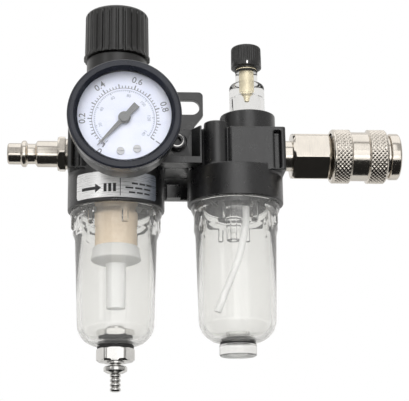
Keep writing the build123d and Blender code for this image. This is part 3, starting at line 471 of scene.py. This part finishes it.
AROUND_UPRIGHT = (0.03, 0.03, 1)
AROUND_PORT = (1, 0.03, 0.03)
LOOKS = {
    "body_black": painted("body_black", (0.006, 0.006, 0.0065), (0.009, 0.009, 0.0095), 0.3, 0.5, 0.015, 1.0),
    "moulded_black": painted(
        "moulded_black", (0.007, 0.007, 0.0065), (0.011, 0.0105, 0.010), 0.32, 0.25, 0.01, 0.8
    ),
    "bezel_black": painted("bezel_black", (0.010, 0.011, 0.016), (0.014, 0.016, 0.023), 0.2, 0.8, 0.004),
    "screw_black": painted("screw_black", (0.02, 0.02, 0.022), (0.035, 0.035, 0.037), 0.3, 0.3, 0.01),
    "seal_rubber": painted("seal_rubber", (0.01, 0.01, 0.01), (0.02, 0.02, 0.02), 0.55, 0.3, 0.02),
    "zinc_steel": plated("zinc_steel", (0.6, 0.6, 0.6), 0.32, AROUND_UPRIGHT),
    "ball_steel": plated("ball_steel", (0.75, 0.75, 0.76), 0.12, (1, 1, 1), 0.03),
    "brass": plated("brass", (1.0, 0.9, 0.66), 0.38, AROUND_UPRIGHT, metal=0.45),
    "drain_nickel": plated("drain_nickel", (0.84, 0.83, 0.81), 0.14, AROUND_UPRIGHT),
    "champagne_nickel": plated("champagne_nickel", (0.8, 0.745, 0.67), 0.15, AROUND_PORT),
    "clear_lens": clear("clear_lens", (0.98, 0.985, 1.0), 0.02, 0.03, 30, -30, 0.0, 1.3),
    "dial_white": dial_paint(),
    "pointer_grey": painted("pointer_grey", (0.2, 0.2, 0.195), (0.24, 0.24, 0.235), 0.45, 0.4, 0.005),
    "label_silver": label_metal_painted_reflection(),
    "bowl_clear": clear("bowl_clear", (0.975, 0.975, 0.96), 0.03, 0.05, -36, -55, 0.06),
    "dome_clear": clear("dome_clear", (0.98, 0.98, 0.975), 0.03, 0.06, 40, -30, 0.0, 1.22),
    "tube_clear": clear("tube_clear", (0.97, 0.97, 0.96), 0.2, 0.3, -10, -60, 0.8),
    "element_beige": sintered(),
    "inner_white": clear("inner_white", (0.98, 0.98, 0.97), 0.3, 0.45, -20, -60, 0.6),
}
INK = painted("ink", (0.2, 0.205, 0.225), (0.24, 0.245, 0.265), 0.5, 0.3, 0.002)
FAINT_INK = painted("faint_ink", (0.38, 0.41, 0.48), (0.44, 0.47, 0.54), 0.5, 0.3, 0.002)
BLACK_INK = painted("black_ink", (0.02, 0.02, 0.022), (0.03, 0.03, 0.032), 0.45, 0.3, 0.002)
WHITE_MARK = painted("white_mark", (0.8, 0.8, 0.8), (0.86, 0.86, 0.86), 0.45, 0.3, 0.002)

for name, node in nodes.items():
    for i in range(len(node.data.materials)):
        node.data.materials[i] = LOOKS[SLOTS[name]]


def settle(piece, *replaced, look=None):
    """Gives a piece the material and body of the CAD nodes that it stands for, and hides those nodes."""
    first = replaced[0]
    piece.data.materials.clear()
    piece.data.materials.append(look or LOOKS[SLOTS[first]])
    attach(piece, nodes[first].parent.name.split(":")[1])
    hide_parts(*replaced)
    return piece


def settle_on(piece, node, look):
    """Gives a mark its ink and makes it ride with the node that it is printed on."""
    piece.data.materials.clear()
    piece.data.materials.append(look)
    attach(piece, nodes[node].parent.name.split(":")[1])
    return piece


# =====================================================================================
# Castings and the joint
# =====================================================================================
settle(cast("regulator_casting", "regulator_body"), "regulator_body")
settle(cast("lubricator_casting", "lubricator_body"), "lubricator_body")
settle(machined("clamp_block", "joint_clamp", 0.5, 3), "joint_clamp")
settle(machined("spacer_block", "joint_spacer", 0.3), "joint_spacer")
settle(machined("bracket_plate", "mounting_bracket", 0.45, 3), "mounting_bracket")
settle(machined("socket_screws", "clamp_screws", 0.2), "clamp_screws")


def make_screw_painted_highlight():
    """A bright nickel ring round the socket of the front clamp screw: a painted highlight for the light
    caught on the head's chamfer.
    """
    head_r = 3.5
    screw = Spindle("clamp_screws", FORWARD, RIGHT)
    screw.foot.z = box_mm("clamp_screws")[0].z + head_r
    face = screw.span("clamp_screws")[1]
    outline = [(1.85, face - 0.3), (2.75, face - 0.3), (2.75, face + 0.1), (1.85, face - 0.1)]
    # painted highlight: a bright ring laid on the black screw head where its chamfer catches the light
    ring = turned("screw_rim", screw, outline, 64, edge=0.05)
    settle_on(ring, "clamp_screws", LOOKS["drain_nickel"])


make_screw_painted_highlight()


# =====================================================================================
# Pressure knob and bonnet
# =====================================================================================
def make_pressure_knob():
    """A hollow knob with rounded finger ribs between its lip and its rounded top."""
    low, top = regulator.span("adjusting_knob")
    ribs = 28
    deep = 0.75

    def ribbed(angle, place, radius):
        fade = ease((place - low + 0.4) / 0.8) * ease((top - 1.1 - place) / 1.6)
        return radius - deep * fade * ease(1.4 * groove(ribs * angle / TURN, 0.24))

    outline = [
        (0, top - 0.5), (9.6, top - 0.5), (10.3, top), *arc(11.65, top - 1.9, 1.9, 90, 0),
        (13.75, low + 2.0), (14.2, low + 0.9), (14.2, low), (11.6, low), (11.6, top - 2.4), (0, top - 2.4),
    ]
    shape = only(ribbed, low, top, 12.0)
    knob = turned("pressure_knob_cap", regulator, outline, ribs * 10, 0, shape, (1.5, low, top))
    settle(knob, "adjusting_knob")


def make_bonnet():
    """The spring bonnet: screw flange, swept shoulder and plain barrel."""
    low, top = regulator.span("regulator_bonnet")
    barrel = 12.9
    outline = [
        (12.5, low), (17.5, low, 0.4), (17.5, low + 6, 0.9), (barrel, low + 11, 3.0), (barrel, top, 0.4),
        (3.2, top), (3.2, top - 4.7), (9.6, top - 4.7), (9.6, low + 5), (12.5, low + 3),
    ]
    settle(turned("spring_bonnet", regulator, outline, 128), "regulator_bonnet")


make_pressure_knob()
make_bonnet()


# =====================================================================================
# Gauge
# =====================================================================================
def make_gauge_shell():
    """Case, bezel ring and lens."""
    back, lip = gauge.span("gauge_case")
    case_r = 20.6
    outline = [
        (0, back), (case_r - 2.0, back, 0.8), (case_r, back + 1.6, 0.8), (case_r, lip), (case_r - 1, lip),
        (case_r - 1.2, back + 1.6), (0, back + 1.6),
    ]
    settle(turned("gauge_shell", gauge, outline, 160), "gauge_case")
    low, face = gauge.span("gauge_bezel")
    outline = [
        (20.65, low), (21.6, low), (22.1, low + 0.5), *arc(21.0, face - 1.1, 1.1, 0, 90), (19.5, face, 0.3),
        (18.1, face - 1.9, 0.2), (18.1, face - 2.1), (19.7, face - 2.1), (19.7, low + 1.5),
        (20.65, low + 1.5),
    ]
    settle(turned("bezel_ring", gauge, outline, 192), "gauge_bezel")
    low, face = gauge.span("gauge_lens")
    glass = turned("gauge_glass", gauge, [(0, low), (19.55, low), (19.55, face), (0, face)], 128)
    glass.visible_shadow = False
    settle(glass, "gauge_lens")


def make_dial():
    """The dial plate, its screws, the pointer and the stop pin."""
    low, face = gauge.span("gauge_dial")
    plate = turned("dial_plate", gauge, [(1.3, low), (19.3, low), (19.3, face), (1.3, face)], 128)
    settle(plate, "gauge_dial")
    settle(machined("pointer_arm", "gauge_pointer", 0.12), "gauge_pointer")
    settle(machined("slotted_screws", "dial_screws", 0.1), "dial_screws")
    start, end = gauge.span("stop_pin")
    pin = [(0, start), (0.4, start), (0.4, end), (0, end)]
    settle(turned("pointer_stop", stop, pin, 24, edge=0.1), "stop_pin")


DIAL_ZERO = 234.0           # where the scale starts, in degrees from +X towards +Z
DIAL_SWEEP = 270.0
PRINT = 0.05                # thickness of printed ink


def dial_angle(share):
    """Angle of a share of the full scale, in radians. The scale runs clockwise."""
    return radians(DIAL_ZERO - DIAL_SWEEP * share)


def on_dial(angle, radius, depth):
    """A point on the dial."""
    return gauge.at(depth, radius, angle)


def add_scale(bm, face, base, ticks, long_every, short, long, thick):
    """One scale: an arc with ticks standing on it, every so many of them long."""
    half = thick / 2
    steps = 120
    line = [(dial_angle(i / steps), base - half, base + half) for i in range(steps + 1)]
    add_ribbon(bm, on_dial, line, face, face + PRINT)
    for i in range(ticks + 1):
        is_long = i % long_every == 0
        end = base + (long if is_long else short)
        width = (0.42 if is_long else 0.3) / abs(base)
        angle = dial_angle(i / ticks)
        tick = [(angle + side * width / 2, min(base, end), max(base, end)) for side in (1, -1)]
        add_ribbon(bm, on_dial, tick, face, face + PRINT)


def add_words(bm, words, size, radius, angle, face):
    """Adds generic figures to a bmesh, their feet towards the dial's middle."""
    curve = bpy.data.curves.new("figures", "FONT")
    curve.body = words
    curve.size = size * MM
    curve.align_x = "CENTER"
    curve.align_y = "CENTER"
    curve.extrude = PRINT * MM / 2
    curve.offset = 0.012 * size * MM
    curve.resolution_u = 3
    text = bpy.data.objects.new("figures", curve)
    bpy.context.scene.collection.objects.link(text)
    graph = bpy.context.evaluated_depsgraph_get()
    mesh = bpy.data.meshes.new_from_object(text.evaluated_get(graph))
    bpy.data.objects.remove(text)
    bpy.data.curves.remove(curve)
    rise = gauge.zero * cos(angle) + gauge.side * sin(angle)
    across = rise.cross(gauge.along)
    middle = gauge.at(face + PRINT / 2, radius, angle)
    facing = Matrix((across, rise, gauge.along)).transposed().to_4x4()
    mesh.transform(Matrix.Translation(middle) @ facing)
    bm.from_mesh(mesh)
    bpy.data.meshes.remove(mesh)


def make_dial_print():
    """Scale and figures in dark ink, with a second, fainter scale inside."""
    face = gauge.span("gauge_dial")[1]
    outer_base, outer_figures = 12.4, 16.0
    inner_base, inner_figures = 11.6, 9.4
    bm = bmesh.new()
    add_scale(bm, face, outer_base, 50, 5, 1.0, 1.7, 0.2)
    for i in range(6):
        add_words(bm, "%g" % (i / 5), 3.5, outer_figures, dial_angle(i / 5), face)
    bmesh.ops.remove_doubles(bm, verts=bm.verts, dist=1e-7)
    settle_on(object_from("dial_scale", bm), "gauge_dial", INK)
    bm = bmesh.new()
    add_scale(bm, face, inner_base, 70, 10, -0.5, -0.9, 0.12)
    for i in range(1, 8):
        add_words(bm, str(20 * i), 1.7, inner_figures, dial_angle(i / 7), face)
    bmesh.ops.remove_doubles(bm, verts=bm.verts, dist=1e-7)
    settle_on(object_from("dial_inner_scale", bm), "gauge_dial", FAINT_INK)


make_gauge_shell()
make_dial()
make_dial_print()


# =====================================================================================
# Label
# =====================================================================================
def make_label():
    """A thin plate wrapped round the skirt, printed with a flow arrow, a divider and bars."""
    low, top = regulator.span("rating_label")
    inner, outer = 20.2, 20.4
    middle = radians(270)
    half = radians(52)
    corner = 1.0

    def wrapped(along, across, depth):
        return regulator.at(across, depth, middle + along / inner)

    reach = half * inner
    columns = []
    steps = 72
    for i in range(steps + 1):
        along = -reach + 2 * reach * i / steps
        past = max(0.0, abs(along) - (reach - corner))
        cut = corner - (max(0.0, corner ** 2 - past ** 2)) ** 0.5
        columns.append((along, low + cut, top - cut))
    bm = bmesh.new()
    add_ribbon(bm, wrapped, columns, inner, outer)
    settle(object_from("label_plate", bm), "rating_label")

    ink = outer + 0.02
    bm = bmesh.new()

    def bar(start, end, bottom, height):
        count = max(2, int(abs(end - start) / 0.8))
        line = [(start + (end - start) * i / count, bottom, bottom + height) for i in range(count + 1)]
        add_ribbon(bm, wrapped, line, outer - 0.05, ink)

    # flow arrow with three blocks ahead of it, then the divider and rows of short bars
    bar(-15.2, -8.6, low + 3.3, 1.3)
    head = []
    for i in range(5):
        reach_up = 1.9 * (1 - i / 4.01)
        head.append((-8.8 + 2.6 * i / 4, low + 3.95 - reach_up, low + 3.95 + reach_up))
    add_ribbon(bm, wrapped, head, outer - 0.05, ink)
    for i in range(3):
        bar(-5.2 + 1.9 * i, -4.0 + 1.9 * i, low + 2.2, 3.5)
    bar(1.35, 1.65, low + 0.5, top - low - 1.0)
    rows = ((5.0, 15.2), (3.6, 15.8), (6.2, 16.2))
    for row, (start, end) in enumerate(rows):
        for part in range(3):
            step = (end - start) / 3
            bar(start + step * part, start + step * (part + 0.8), low + 1.7 + 1.9 * row, 0.75)
    settle_on(object_from("label_print", bm), "rating_label", BLACK_INK)


make_label()


# =====================================================================================
# Bowls
# =====================================================================================
def bowl_outline(neck_r, top, flange_r, flange_top, side, corner, low, hole_r, wall=2.0):
    """Section of a bowl: neck, stop flange, tapering side, round bottom with a hole, and its inside."""
    side_r, side_low = side[-1]
    foot = side_r - corner
    return [
        (neck_r, top), (neck_r, flange_top), (flange_r, flange_top, 0.3), (flange_r, flange_top - 1.8, 0.4),
        *side[:-1], *arc(foot, side_low, corner, 0, -90, 14), (hole_r, low), (hole_r, low + wall),
        *arc(foot, side_low, corner - wall, -90, 0, 12), (side[2][0] - wall, side[2][1], 2.0),
        (neck_r - wall, flange_top - 3, 0.8), (neck_r - wall, top),
    ]


def grip_ribs(count, first, reach, low, high):
    """Shape that raises short upright ribs on the outside of a bowl."""
    def ribbed(angle, place, radius):
        off = abs((angle - first + pi / count) % (TURN / count) - pi / count) * reach
        side = ease((1.45 - off) / 0.5)
        ends = ease((place - low) / 0.6) * ease((high - place) / 0.4)
        return radius + max(0.0, reach - radius) * side * ends

    return ribbed


def make_bowls():
    """The water bowl and the oil bowl."""
    low, top = regulator.span("filter_bowl")
    flange_top = regulator.span("regulator_body")[0] - 0.1
    side = [(17.95, -29.3, 0.5), (17.95, -34.8, 1.6), (16.95, -37.4, 1.6), (16.08, -62.0), (15.75, low + 9.0)]
    outline = bowl_outline(16.8, top, 18.95, flange_top, side, 9.0, low, 5.1)
    shape = only(grip_ribs(8, radians(11), 18.8, -33.6, -26.6), -34, -26, 16.9)
    bowl = turned("water_bowl_shell", regulator, outline, 256, 0, shape, (0.6, -34.2, -26.5))
    bowl.visible_shadow = False
    settle(bowl, "filter_bowl")
    low, top = lubricator.span("oil_bowl")
    flange_top = lubricator.span("lubricator_body")[0] - 0.1
    side = [(17.54, -26.5, 0.5), (17.54, -33.0, 1.4), (16.95, -35.4, 1.4), (16.2, -62.0), (16.0, low + 9.5)]
    outline = bowl_outline(16.0, top, 18.6, flange_top, side, 9.5, low, 5.0)
    shape = only(grip_ribs(8, radians(20), 18.3, -32.1, -23.6), -33, -23, 16.5)
    bowl = turned("oil_bowl_shell", lubricator, outline, 256, 0, shape, (0.6, -32.6, -23.5))
    bowl.visible_shadow = False
    settle(bowl, "oil_bowl")


def make_bowl_inside():
    """What shows through the bowls: element, baffle, return nozzle, siphon tube."""
    low, top = regulator.span("filter_element")
    outline = [(6.0, low), (9.0, low), (9.0, top), (6.0, top)]
    settle(turned("element_sleeve", regulator, outline, 96), "filter_element")
    low, top = regulator.span("baffle")
    outline = [
        (0, low), (3.9, low), (4.2, low + 19.4, 0.6), (8.0, low + 19.8, 0.4), (10.5, low + 20.8, 0.3),
        (10.5, low + 21.7, 0.3), (9.9, low + 24.0, 0.5), (9.9, top - 0.4), (9.5, top), (0, top),
    ]
    settle(turned("baffle_disc", regulator, outline, 96), "baffle")
    low, top = nozzle.span("return_fitting")
    outline = [
        (1.2, low), (3.0, low), (3.3, low + 6), (3.3, top - 6.4), (3.6, top - 6.0), (3.3, top - 5.6),
        (3.3, top - 1.6), (3.5, top - 1.6), (3.5, top), (1.2, top),
    ]
    settle(turned("oil_return_nozzle", nozzle, outline, 64), "return_fitting")
    tube = cad_copy("oil_siphon", "siphon_tube")
    settle(tube, "siphon_tube")


def make_drain():
    """Nut and rings in the bowl's foot, the hexagon body and the hose tail."""
    flat = radians(30 - 3)
    low, top = regulator.span("drain_nut")
    outline = [(5.05, low), (7.2, low), (7.75, low + 0.4), (7.75, top - 0.4), (7.2, top), (5.05, top)]
    shape = only(hexagon(13.6, flat), low, top, 5.6)
    nut = turned("drain_lock_nut", regulator, outline, 96, flat + TURN / 12, shape, edge=0.1)
    settle(nut, "drain_nut")
    bowl_low = regulator.span("filter_bowl")[0]
    low, top = regulator.span("drain_seals")
    bm = bmesh.new()
    for foot, head, outer in ((low, bowl_low, 7.5), (bowl_low + 2, top, 6.9)):
        ring = soften([(5.05, foot), (outer, foot, 0.5), (outer, head, 0.5), (5.05, head)], EDGE)
        add_turned(bm, regulator, ring, 96, 0, None)
    settle(object_from("drain_rings", bm), "drain_seals")
    low, top = regulator.span("drain_body")
    hex_low, hex_top = low + 0.6, low + 5.9
    outline = [
        (2.6, low), (4.3, low), (4.3, hex_low), (6.9, hex_low), (7.85, hex_low + 0.8), (7.85, hex_top - 0.4),
        (7.4, hex_top), (5.0, hex_top), (5.0, top), (2.6, top),
    ]
    shape = only(hexagon(14.0, flat), hex_low, hex_top, 5.5)
    body = turned("drain_hexagon", regulator, outline, 96, flat + TURN / 12, shape, edge=0.12)
    settle(body, "drain_body")
    low, top = regulator.span("drain_stem")
    beads = 4
    pitch = 1.85
    outline = [(0, low), (0.9, low), (1.3, low, 0.05)]
    for i in range(beads):
        foot = low + pitch * i
        outline.extend(arc(1.33, foot + pitch / 2, pitch / 2, -80, 80, 8))
    neck = low + beads * pitch
    outline.extend([
        (1.9, neck, 0.1), (3.2, neck, 0.15), (4.8, neck + 0.9, 0.3), (4.85, neck + 2.4, 0.3),
        (4.3, neck + 2.9), (2.2, neck + 2.9),
        (2.2, top - 1.25), (3.7, top - 1.25), (3.7, top - 0.3), (3.4, top), (0, top),
    ])
    settle(turned("drain_hose_tail", regulator, outline, 64, edge=0.12), "drain_stem")


def make_oil_plug():
    """The clear plug in the oil bowl's foot, with its ring."""
    low, top = lubricator.span("oil_bowl_plug")
    shelf = low + 4.7
    outline = [
        (0, low), (7.1, low, 0.5), (7.7, low + 0.6, 0.4), (7.7, shelf), (4.9, shelf), (4.9, top), (3.4, top),
        (3.4, shelf + 1), (0, shelf + 1),
    ]
    plug = turned("oil_drain_plug", lubricator, outline, 96)
    plug.visible_shadow = False
    settle(plug, "oil_bowl_plug")
    low, top = lubricator.span("plug_seal")
    outline = [(5.0, low), (7.4, low, 0.4), (7.4, top, 0.4), (5.0, top)]
    settle(turned("oil_plug_ring", lubricator, outline, 96), "plug_seal")


make_bowls()
make_bowl_inside()
make_drain()
make_oil_plug()


# =====================================================================================
# Sight dome and drip adjuster
# =====================================================================================
def make_sight_dome():
    """The clear dome, its ring, its seals and the brass needle housing."""
    low, top = dome.span("sight_dome")
    shoulder = low + 21.4
    roof = low + 17
    outline = [
        (6.1, low), (9.1, low), (9.1, low + 2.2), (7.55, low + 2.2),
        *arc(5.35, shoulder - 2.2, 2.2, 0, 80, 8),
        (4.75, shoulder + 0.5, 0.3), (4.75, top), (2.5, top), (2.5, roof, 0.3), (6.1, roof - 1.8, 0.8),
    ]
    glass = turned("sight_glass", dome, outline, 128)
    glass.visible_shadow = False
    settle(glass, "sight_dome")
    low, top = dome.span("needle_housing")
    outline = [
        (0.4, low), (1.0, low), (1.5, low + 2.3), (2.55, low + 3.4), (2.55, top - 0.4), (4.6, top - 0.4, 0.1),
        (4.6, top, 0.1), (1.0, top), (1.0, low + 5.3), (0.4, low + 3.8),
    ]
    settle(turned("drip_nozzle", dome, outline, 64), "needle_housing")
    low, top = dome.span("dome_ring")
    outline = [(7.65, low), (9.25, low), (9.25, top), (7.65, top)]
    settle(turned("dome_lock_ring", dome, outline, 128), "dome_ring")
    low, top = dome.span("dome_seals")
    bm = bmesh.new()
    flat = soften([(6.3, low), (8.9, low), (8.9, low + 1.1), (6.3, low + 1.1)], EDGE)
    round_ring = soften([(3.25, top - 0.9), (4.87, top - 0.9, 0.4), (4.87, top, 0.4), (3.25, top)], EDGE)
    for ring in (flat, round_ring):
        add_turned(bm, dome, ring, 96, 0, None)
    settle(object_from("dome_rings", bm), "dome_seals")


def make_drip_knob():
    """The small adjusting knob: fine ribs, a lip ring below them and an index mark."""
    low, top = dome.span("drip_knob")
    outer = 6.55
    ribs = 40

    def ribbed(angle, place, radius):
        fade = ease((place - low - 2.1) / 0.4) * ease((top - 0.5 - place) / 0.9)
        return radius - 0.18 * fade * ease(groove(ribs * angle / TURN, 0.42))

    outline = [
        (0.95, low), (5.45, low, 0.2), (5.45, low + 0.4), (outer, low + 0.65, 0.2), (outer, low + 2.0),
        (outer - 0.1, top - 1.1), *arc(outer - 1.1, top - 1.0, 1.0, 0, 90, 6), (4.6, top, 0.2),
        (4.1, top - 0.4, 0.2), (0, top - 0.4), (0, low + 6), (0.95, low + 6),
    ]
    shape = only(ribbed, low + 2.0, top, 5.0)
    knob = turned("drip_knob_cap", dome, outline, ribs * 6, 0, shape, (0.9, low + 1.9, top), 0.12)
    settle(knob, "drip_knob")
    bm = bmesh.new()

    def on_lip(along, across, depth):
        return dome.at(across, depth, radians(268) + along)

    mark = [(side, low + 0.9, low + 2.1) for side in (-0.05, 0.05)]
    add_ribbon(bm, on_lip, mark, outer - 0.2, outer + 0.04)
    settle_on(object_from("index_mark", bm), "drip_knob", WHITE_MARK)


def make_fill_plug():
    """The slotted filler plug."""
    settle(machined("filler_screw", "fill_plug", 0.15), "fill_plug")


make_sight_dome()
make_drip_knob()
make_fill_plug()


# =====================================================================================
# Inlet plug and outlet coupler
# =====================================================================================
def make_inlet_plug():
    """Quick plug: nose, locking ridge, waist, shank and wrench hexagon."""
    start, end = port.span("inlet_plug")
    flat = radians(10 + 30)
    hexagon_at = start + 20.9
    outline = [
        (2.6, start), (3.9, start, 0.2), (4.5, start + 0.6, 0.3), (4.5, start + 5.6), (5.3, start + 6.0, 0.2),
        (5.6, start + 6.5, 0.2), (5.6, start + 7.7, 0.2), (4.3, start + 8.4, 0.3), (4.3, start + 11.6, 0.3),
        (5.55, start + 12.4, 0.4), (5.55, hexagon_at, 0.1), (7.0, hexagon_at, 0.15),
        (7.95, hexagon_at + 0.9, 0.1), (7.95, hexagon_at + 3.1),
        (6.5, hexagon_at + 3.3), (6.5, end), (3.2, end), (3.2, start + 20.5),
        (2.6, start + 18.5),
    ]
    shape = only(hexagon(14.0, flat), hexagon_at, hexagon_at + 3.2, 6.6)
    plug = turned("quick_plug", port, outline, 96, flat + TURN / 12, shape, edge=0.12)
    settle(plug, "inlet_plug")


def make_coupler_body():
    """Socket body: thread, wrench hexagon, cone and the tube that the sleeve slides on."""
    start, end = port.span("coupler_body")
    flat = radians(17 + 30)
    near = start + 12.2
    far = near + 15.2
    corner = 19.0 / 3 ** 0.5
    outline = [
        (3.6, start), (6.5, start), (6.5, near), (9.5, near, 0.1), (corner - 0.12, near + 1.1, 0.2),
        (corner - 0.12, far - 0.3, 0.2), (corner - 0.4, far, 0.2), (9.35, far, 0.1), (8.9, far + 1.6, 0.2),
        (8.2, far + 1.6), (8.2, end), (5.75, end), (5.75, end - 13.9), (6.0, end - 13.9), (6.0, end - 22.4),
        (3.6, end - 22.4),
    ]
    shape = only(hexagon(19.0, flat), near - 0.01, far + 0.01, 9.0)
    body = turned("coupler_socket", port, outline, 192, flat + TURN / 12, shape, edge=0.12)
    settle(body, "coupler_body")
    start, end = port.span("coupler_nose")
    outline = [
        (6.1, start), (8.6, start), (8.6, start + 0.8), (9.45, start + 0.8, 0.2), (9.95, start + 1.3, 0.3),
        (9.95, end - 0.6, 0.3), (9.3, end, 0.3), (6.6, end, 0.2), (6.1, end - 1.0, 0.2),
    ]
    settle(turned("coupler_end_ring", port, outline, 128), "coupler_nose")


def make_coupler_sleeve():
    """The release sleeve: two bands of diamond knurl with a smooth waist between them."""
    start, end = port.span("coupler_sleeve")
    outer = 11.6
    waist_from, waist_to = start + 7.8, start + 15.7
    bands = ((start + 1.1, waist_from - 0.1), (waist_to + 0.1, end - 0.6))
    teeth = 42
    pitch = 1.7

    def knurled(angle, place, radius):
        inside = max(ease((place - a) / 0.25) * ease((b - place) / 0.25) for a, b in bands)
        if inside == 0 or radius < outer - 0.3:
            return radius
        round_about = teeth * angle / TURN
        along = place / pitch
        cut = max(groove(round_about + along, 0.5), groove(round_about - along, 0.5))
        return radius - 0.36 * inside * cut

    outline = [
        (9.9, start), (11.0, start, 0.2), (outer, start + 0.7, 0.2), (outer, waist_from, 0.2),
        (10.5, waist_from + 0.4, 0.2), (10.5, waist_to - 0.4, 0.2),
        (outer, waist_to, 0.2), (outer, end - 0.7, 0.3), (11.0, end, 0.2), (9.6, end), (9.6, end - 1.8),
        (8.3, end - 3.3), (8.3, start + 12.1), (9.9, start + 12.1),
    ]
    sleeve = turned("release_ring", port, outline, teeth * 8, 0, knurled, (0.2, start + 1.0, end - 0.3))
    settle(sleeve, "coupler_sleeve")


make_inlet_plug()
make_coupler_body()
make_coupler_sleeve()


# =====================================================================================
# Camera, light and floor
# =====================================================================================
def make_camera():
    """Looks slightly up at the set from in front of its left part."""
    place = (-0.0271, -0.5337, -0.1560)
    yaw, pitch, roll = radians(4.39), radians(14.92), radians(-0.78)
    look = Vector((sin(yaw) * cos(pitch), cos(yaw) * cos(pitch), sin(pitch)))
    level = Vector((cos(yaw), -sin(yaw), 0))
    rise = level.cross(look)
    across = level * cos(roll) + rise * sin(roll)
    upward = rise * cos(roll) - level * sin(roll)
    data = bpy.data.cameras.new("camera")
    data.sensor_width = 36.0
    data.lens = 110.75
    data.clip_start = 0.01
    data.clip_end = 20.0
    camera = bpy.data.objects.new("camera", data)
    facing = Matrix((across, upward, -look)).transposed().to_4x4()
    camera.matrix_world = Matrix.Translation(place) @ facing
    bpy.context.scene.collection.objects.link(camera)
    bpy.context.scene.camera = camera


def add_softbox(name, place, target, width, height, radiance, mirrored=True):
    """A rectangular area lamp aimed at a point, as bright as a white card lit to that radiance.
    One that isn't mirrored lights matt surfaces but shows in no reflection."""
    data = bpy.data.lights.new(name, "AREA")
    data.shape = "RECTANGLE"
    data.size = width
    data.size_y = height
    data.energy = pi * width * height * radiance
    lamp = bpy.data.objects.new(name, data)
    lamp.location = place
    lamp.rotation_mode = "QUATERNION"
    lamp.rotation_quaternion = (Vector(target) - Vector(place)).to_track_quat("-Z", "Y")
    lamp.visible_glossy = mirrored
    lamp.visible_transmission = mirrored
    bpy.context.scene.collection.objects.link(lamp)


def make_world():
    """White behind the object. What lights it is bright behind, grey above and dark low in front."""
    world = bpy.data.worlds.new("studio")
    bpy.context.scene.world = world
    world.use_nodes = True
    tree = world.node_tree
    tree.nodes.clear()
    coordinates = tree.nodes.new("ShaderNodeTexCoord")
    split = tree.nodes.new("ShaderNodeSeparateXYZ")
    tree.links.new(coordinates.outputs["Generated"], split.inputs["Vector"])
    rising = spread(tree, split.outputs["Z"], None, 0.03, 0.42, -0.5, 0.2)
    behind = spread(tree, split.outputs["Y"], None, 0.0, 0.81, -0.1, 0.5)
    total = tree.nodes.new("ShaderNodeMath")
    total.operation = "MAXIMUM"
    tree.links.new(rising, total.inputs[0])
    tree.links.new(behind, total.inputs[1])
    lit = tree.nodes.new("ShaderNodeBackground")
    lit.inputs["Color"].default_value = (1, 0.99, 0.975, 1)
    tree.links.new(total.outputs["Value"], lit.inputs["Strength"])
    seen = tree.nodes.new("ShaderNodeBackground")
    seen.inputs["Color"].default_value = (1, 1, 1, 1)
    path = tree.nodes.new("ShaderNodeLightPath")
    mix = tree.nodes.new("ShaderNodeMixShader")
    output = tree.nodes.new("ShaderNodeOutputWorld")
    tree.links.new(path.outputs["Is Camera Ray"], mix.inputs["Fac"])
    tree.links.new(lit.outputs["Background"], mix.inputs[1])
    tree.links.new(seen.outputs["Background"], mix.inputs[2])
    tree.links.new(mix.outputs["Shader"], output.inputs["Surface"])


def add_sheet(name, low, high, height, material, rays=True):
    """A level rectangle that is part of the studio, not of the object."""
    bm = bmesh.new()
    corners = ((low[0], low[1]), (high[0], low[1]), (high[0], high[1]), (low[0], high[1]))
    bm.faces.new([bm.verts.new((x, y, height)) for x, y in corners])
    mesh = bpy.data.meshes.new(name)
    bm.to_mesh(mesh)
    bm.free()
    sheet = bpy.data.objects.new(name, mesh)
    mesh.materials.append(material)
    bpy.context.scene.collection.objects.link(sheet)
    sheet.visible_camera = rays
    sheet.visible_diffuse = rays
    sheet.visible_shadow = rays


def make_studio():
    """Pale floor well below the object, a low black card in front, and the soft lamps."""
    floor_z = -0.24
    card_z = -0.22
    target = (0, 0, 0)
    pale = principled("floor", (0.85, 0.85, 0.84), 0.8)[0]
    card = principled("card", (0.004, 0.004, 0.004), 0.9)[0]
    add_sheet("floor", (-1.5, -1.5), (1.5, 1.5), floor_z, pale)
    add_sheet("black_card", (-0.6, -0.42), (0.6, 0.07), card_z, card, rays=False)
    add_softbox("key", (0.04, -0.8, 0.48), target, 0.5, 0.5, 0.88)
    add_softbox("top", (0, -0.1, 0.9), target, 1.6, 0.9, 0.75)
    add_softbox("front", (0.12, -0.92, 0.0), (0.12, 0, 0), 0.7, 0.5, 0.95)
    add_softbox("strip", (-0.62, -0.62, 0.3), target, 0.2, 0.7, 0.9)
    add_softbox("wash", (-0.1, -1.0, 0.15), target, 0.8, 0.8, 4.0, mirrored=False)


make_camera()
make_world()
make_studio()
bpy.context.scene.view_settings.view_transform = "Standard"
bpy.context.scene.view_settings.look = "None"
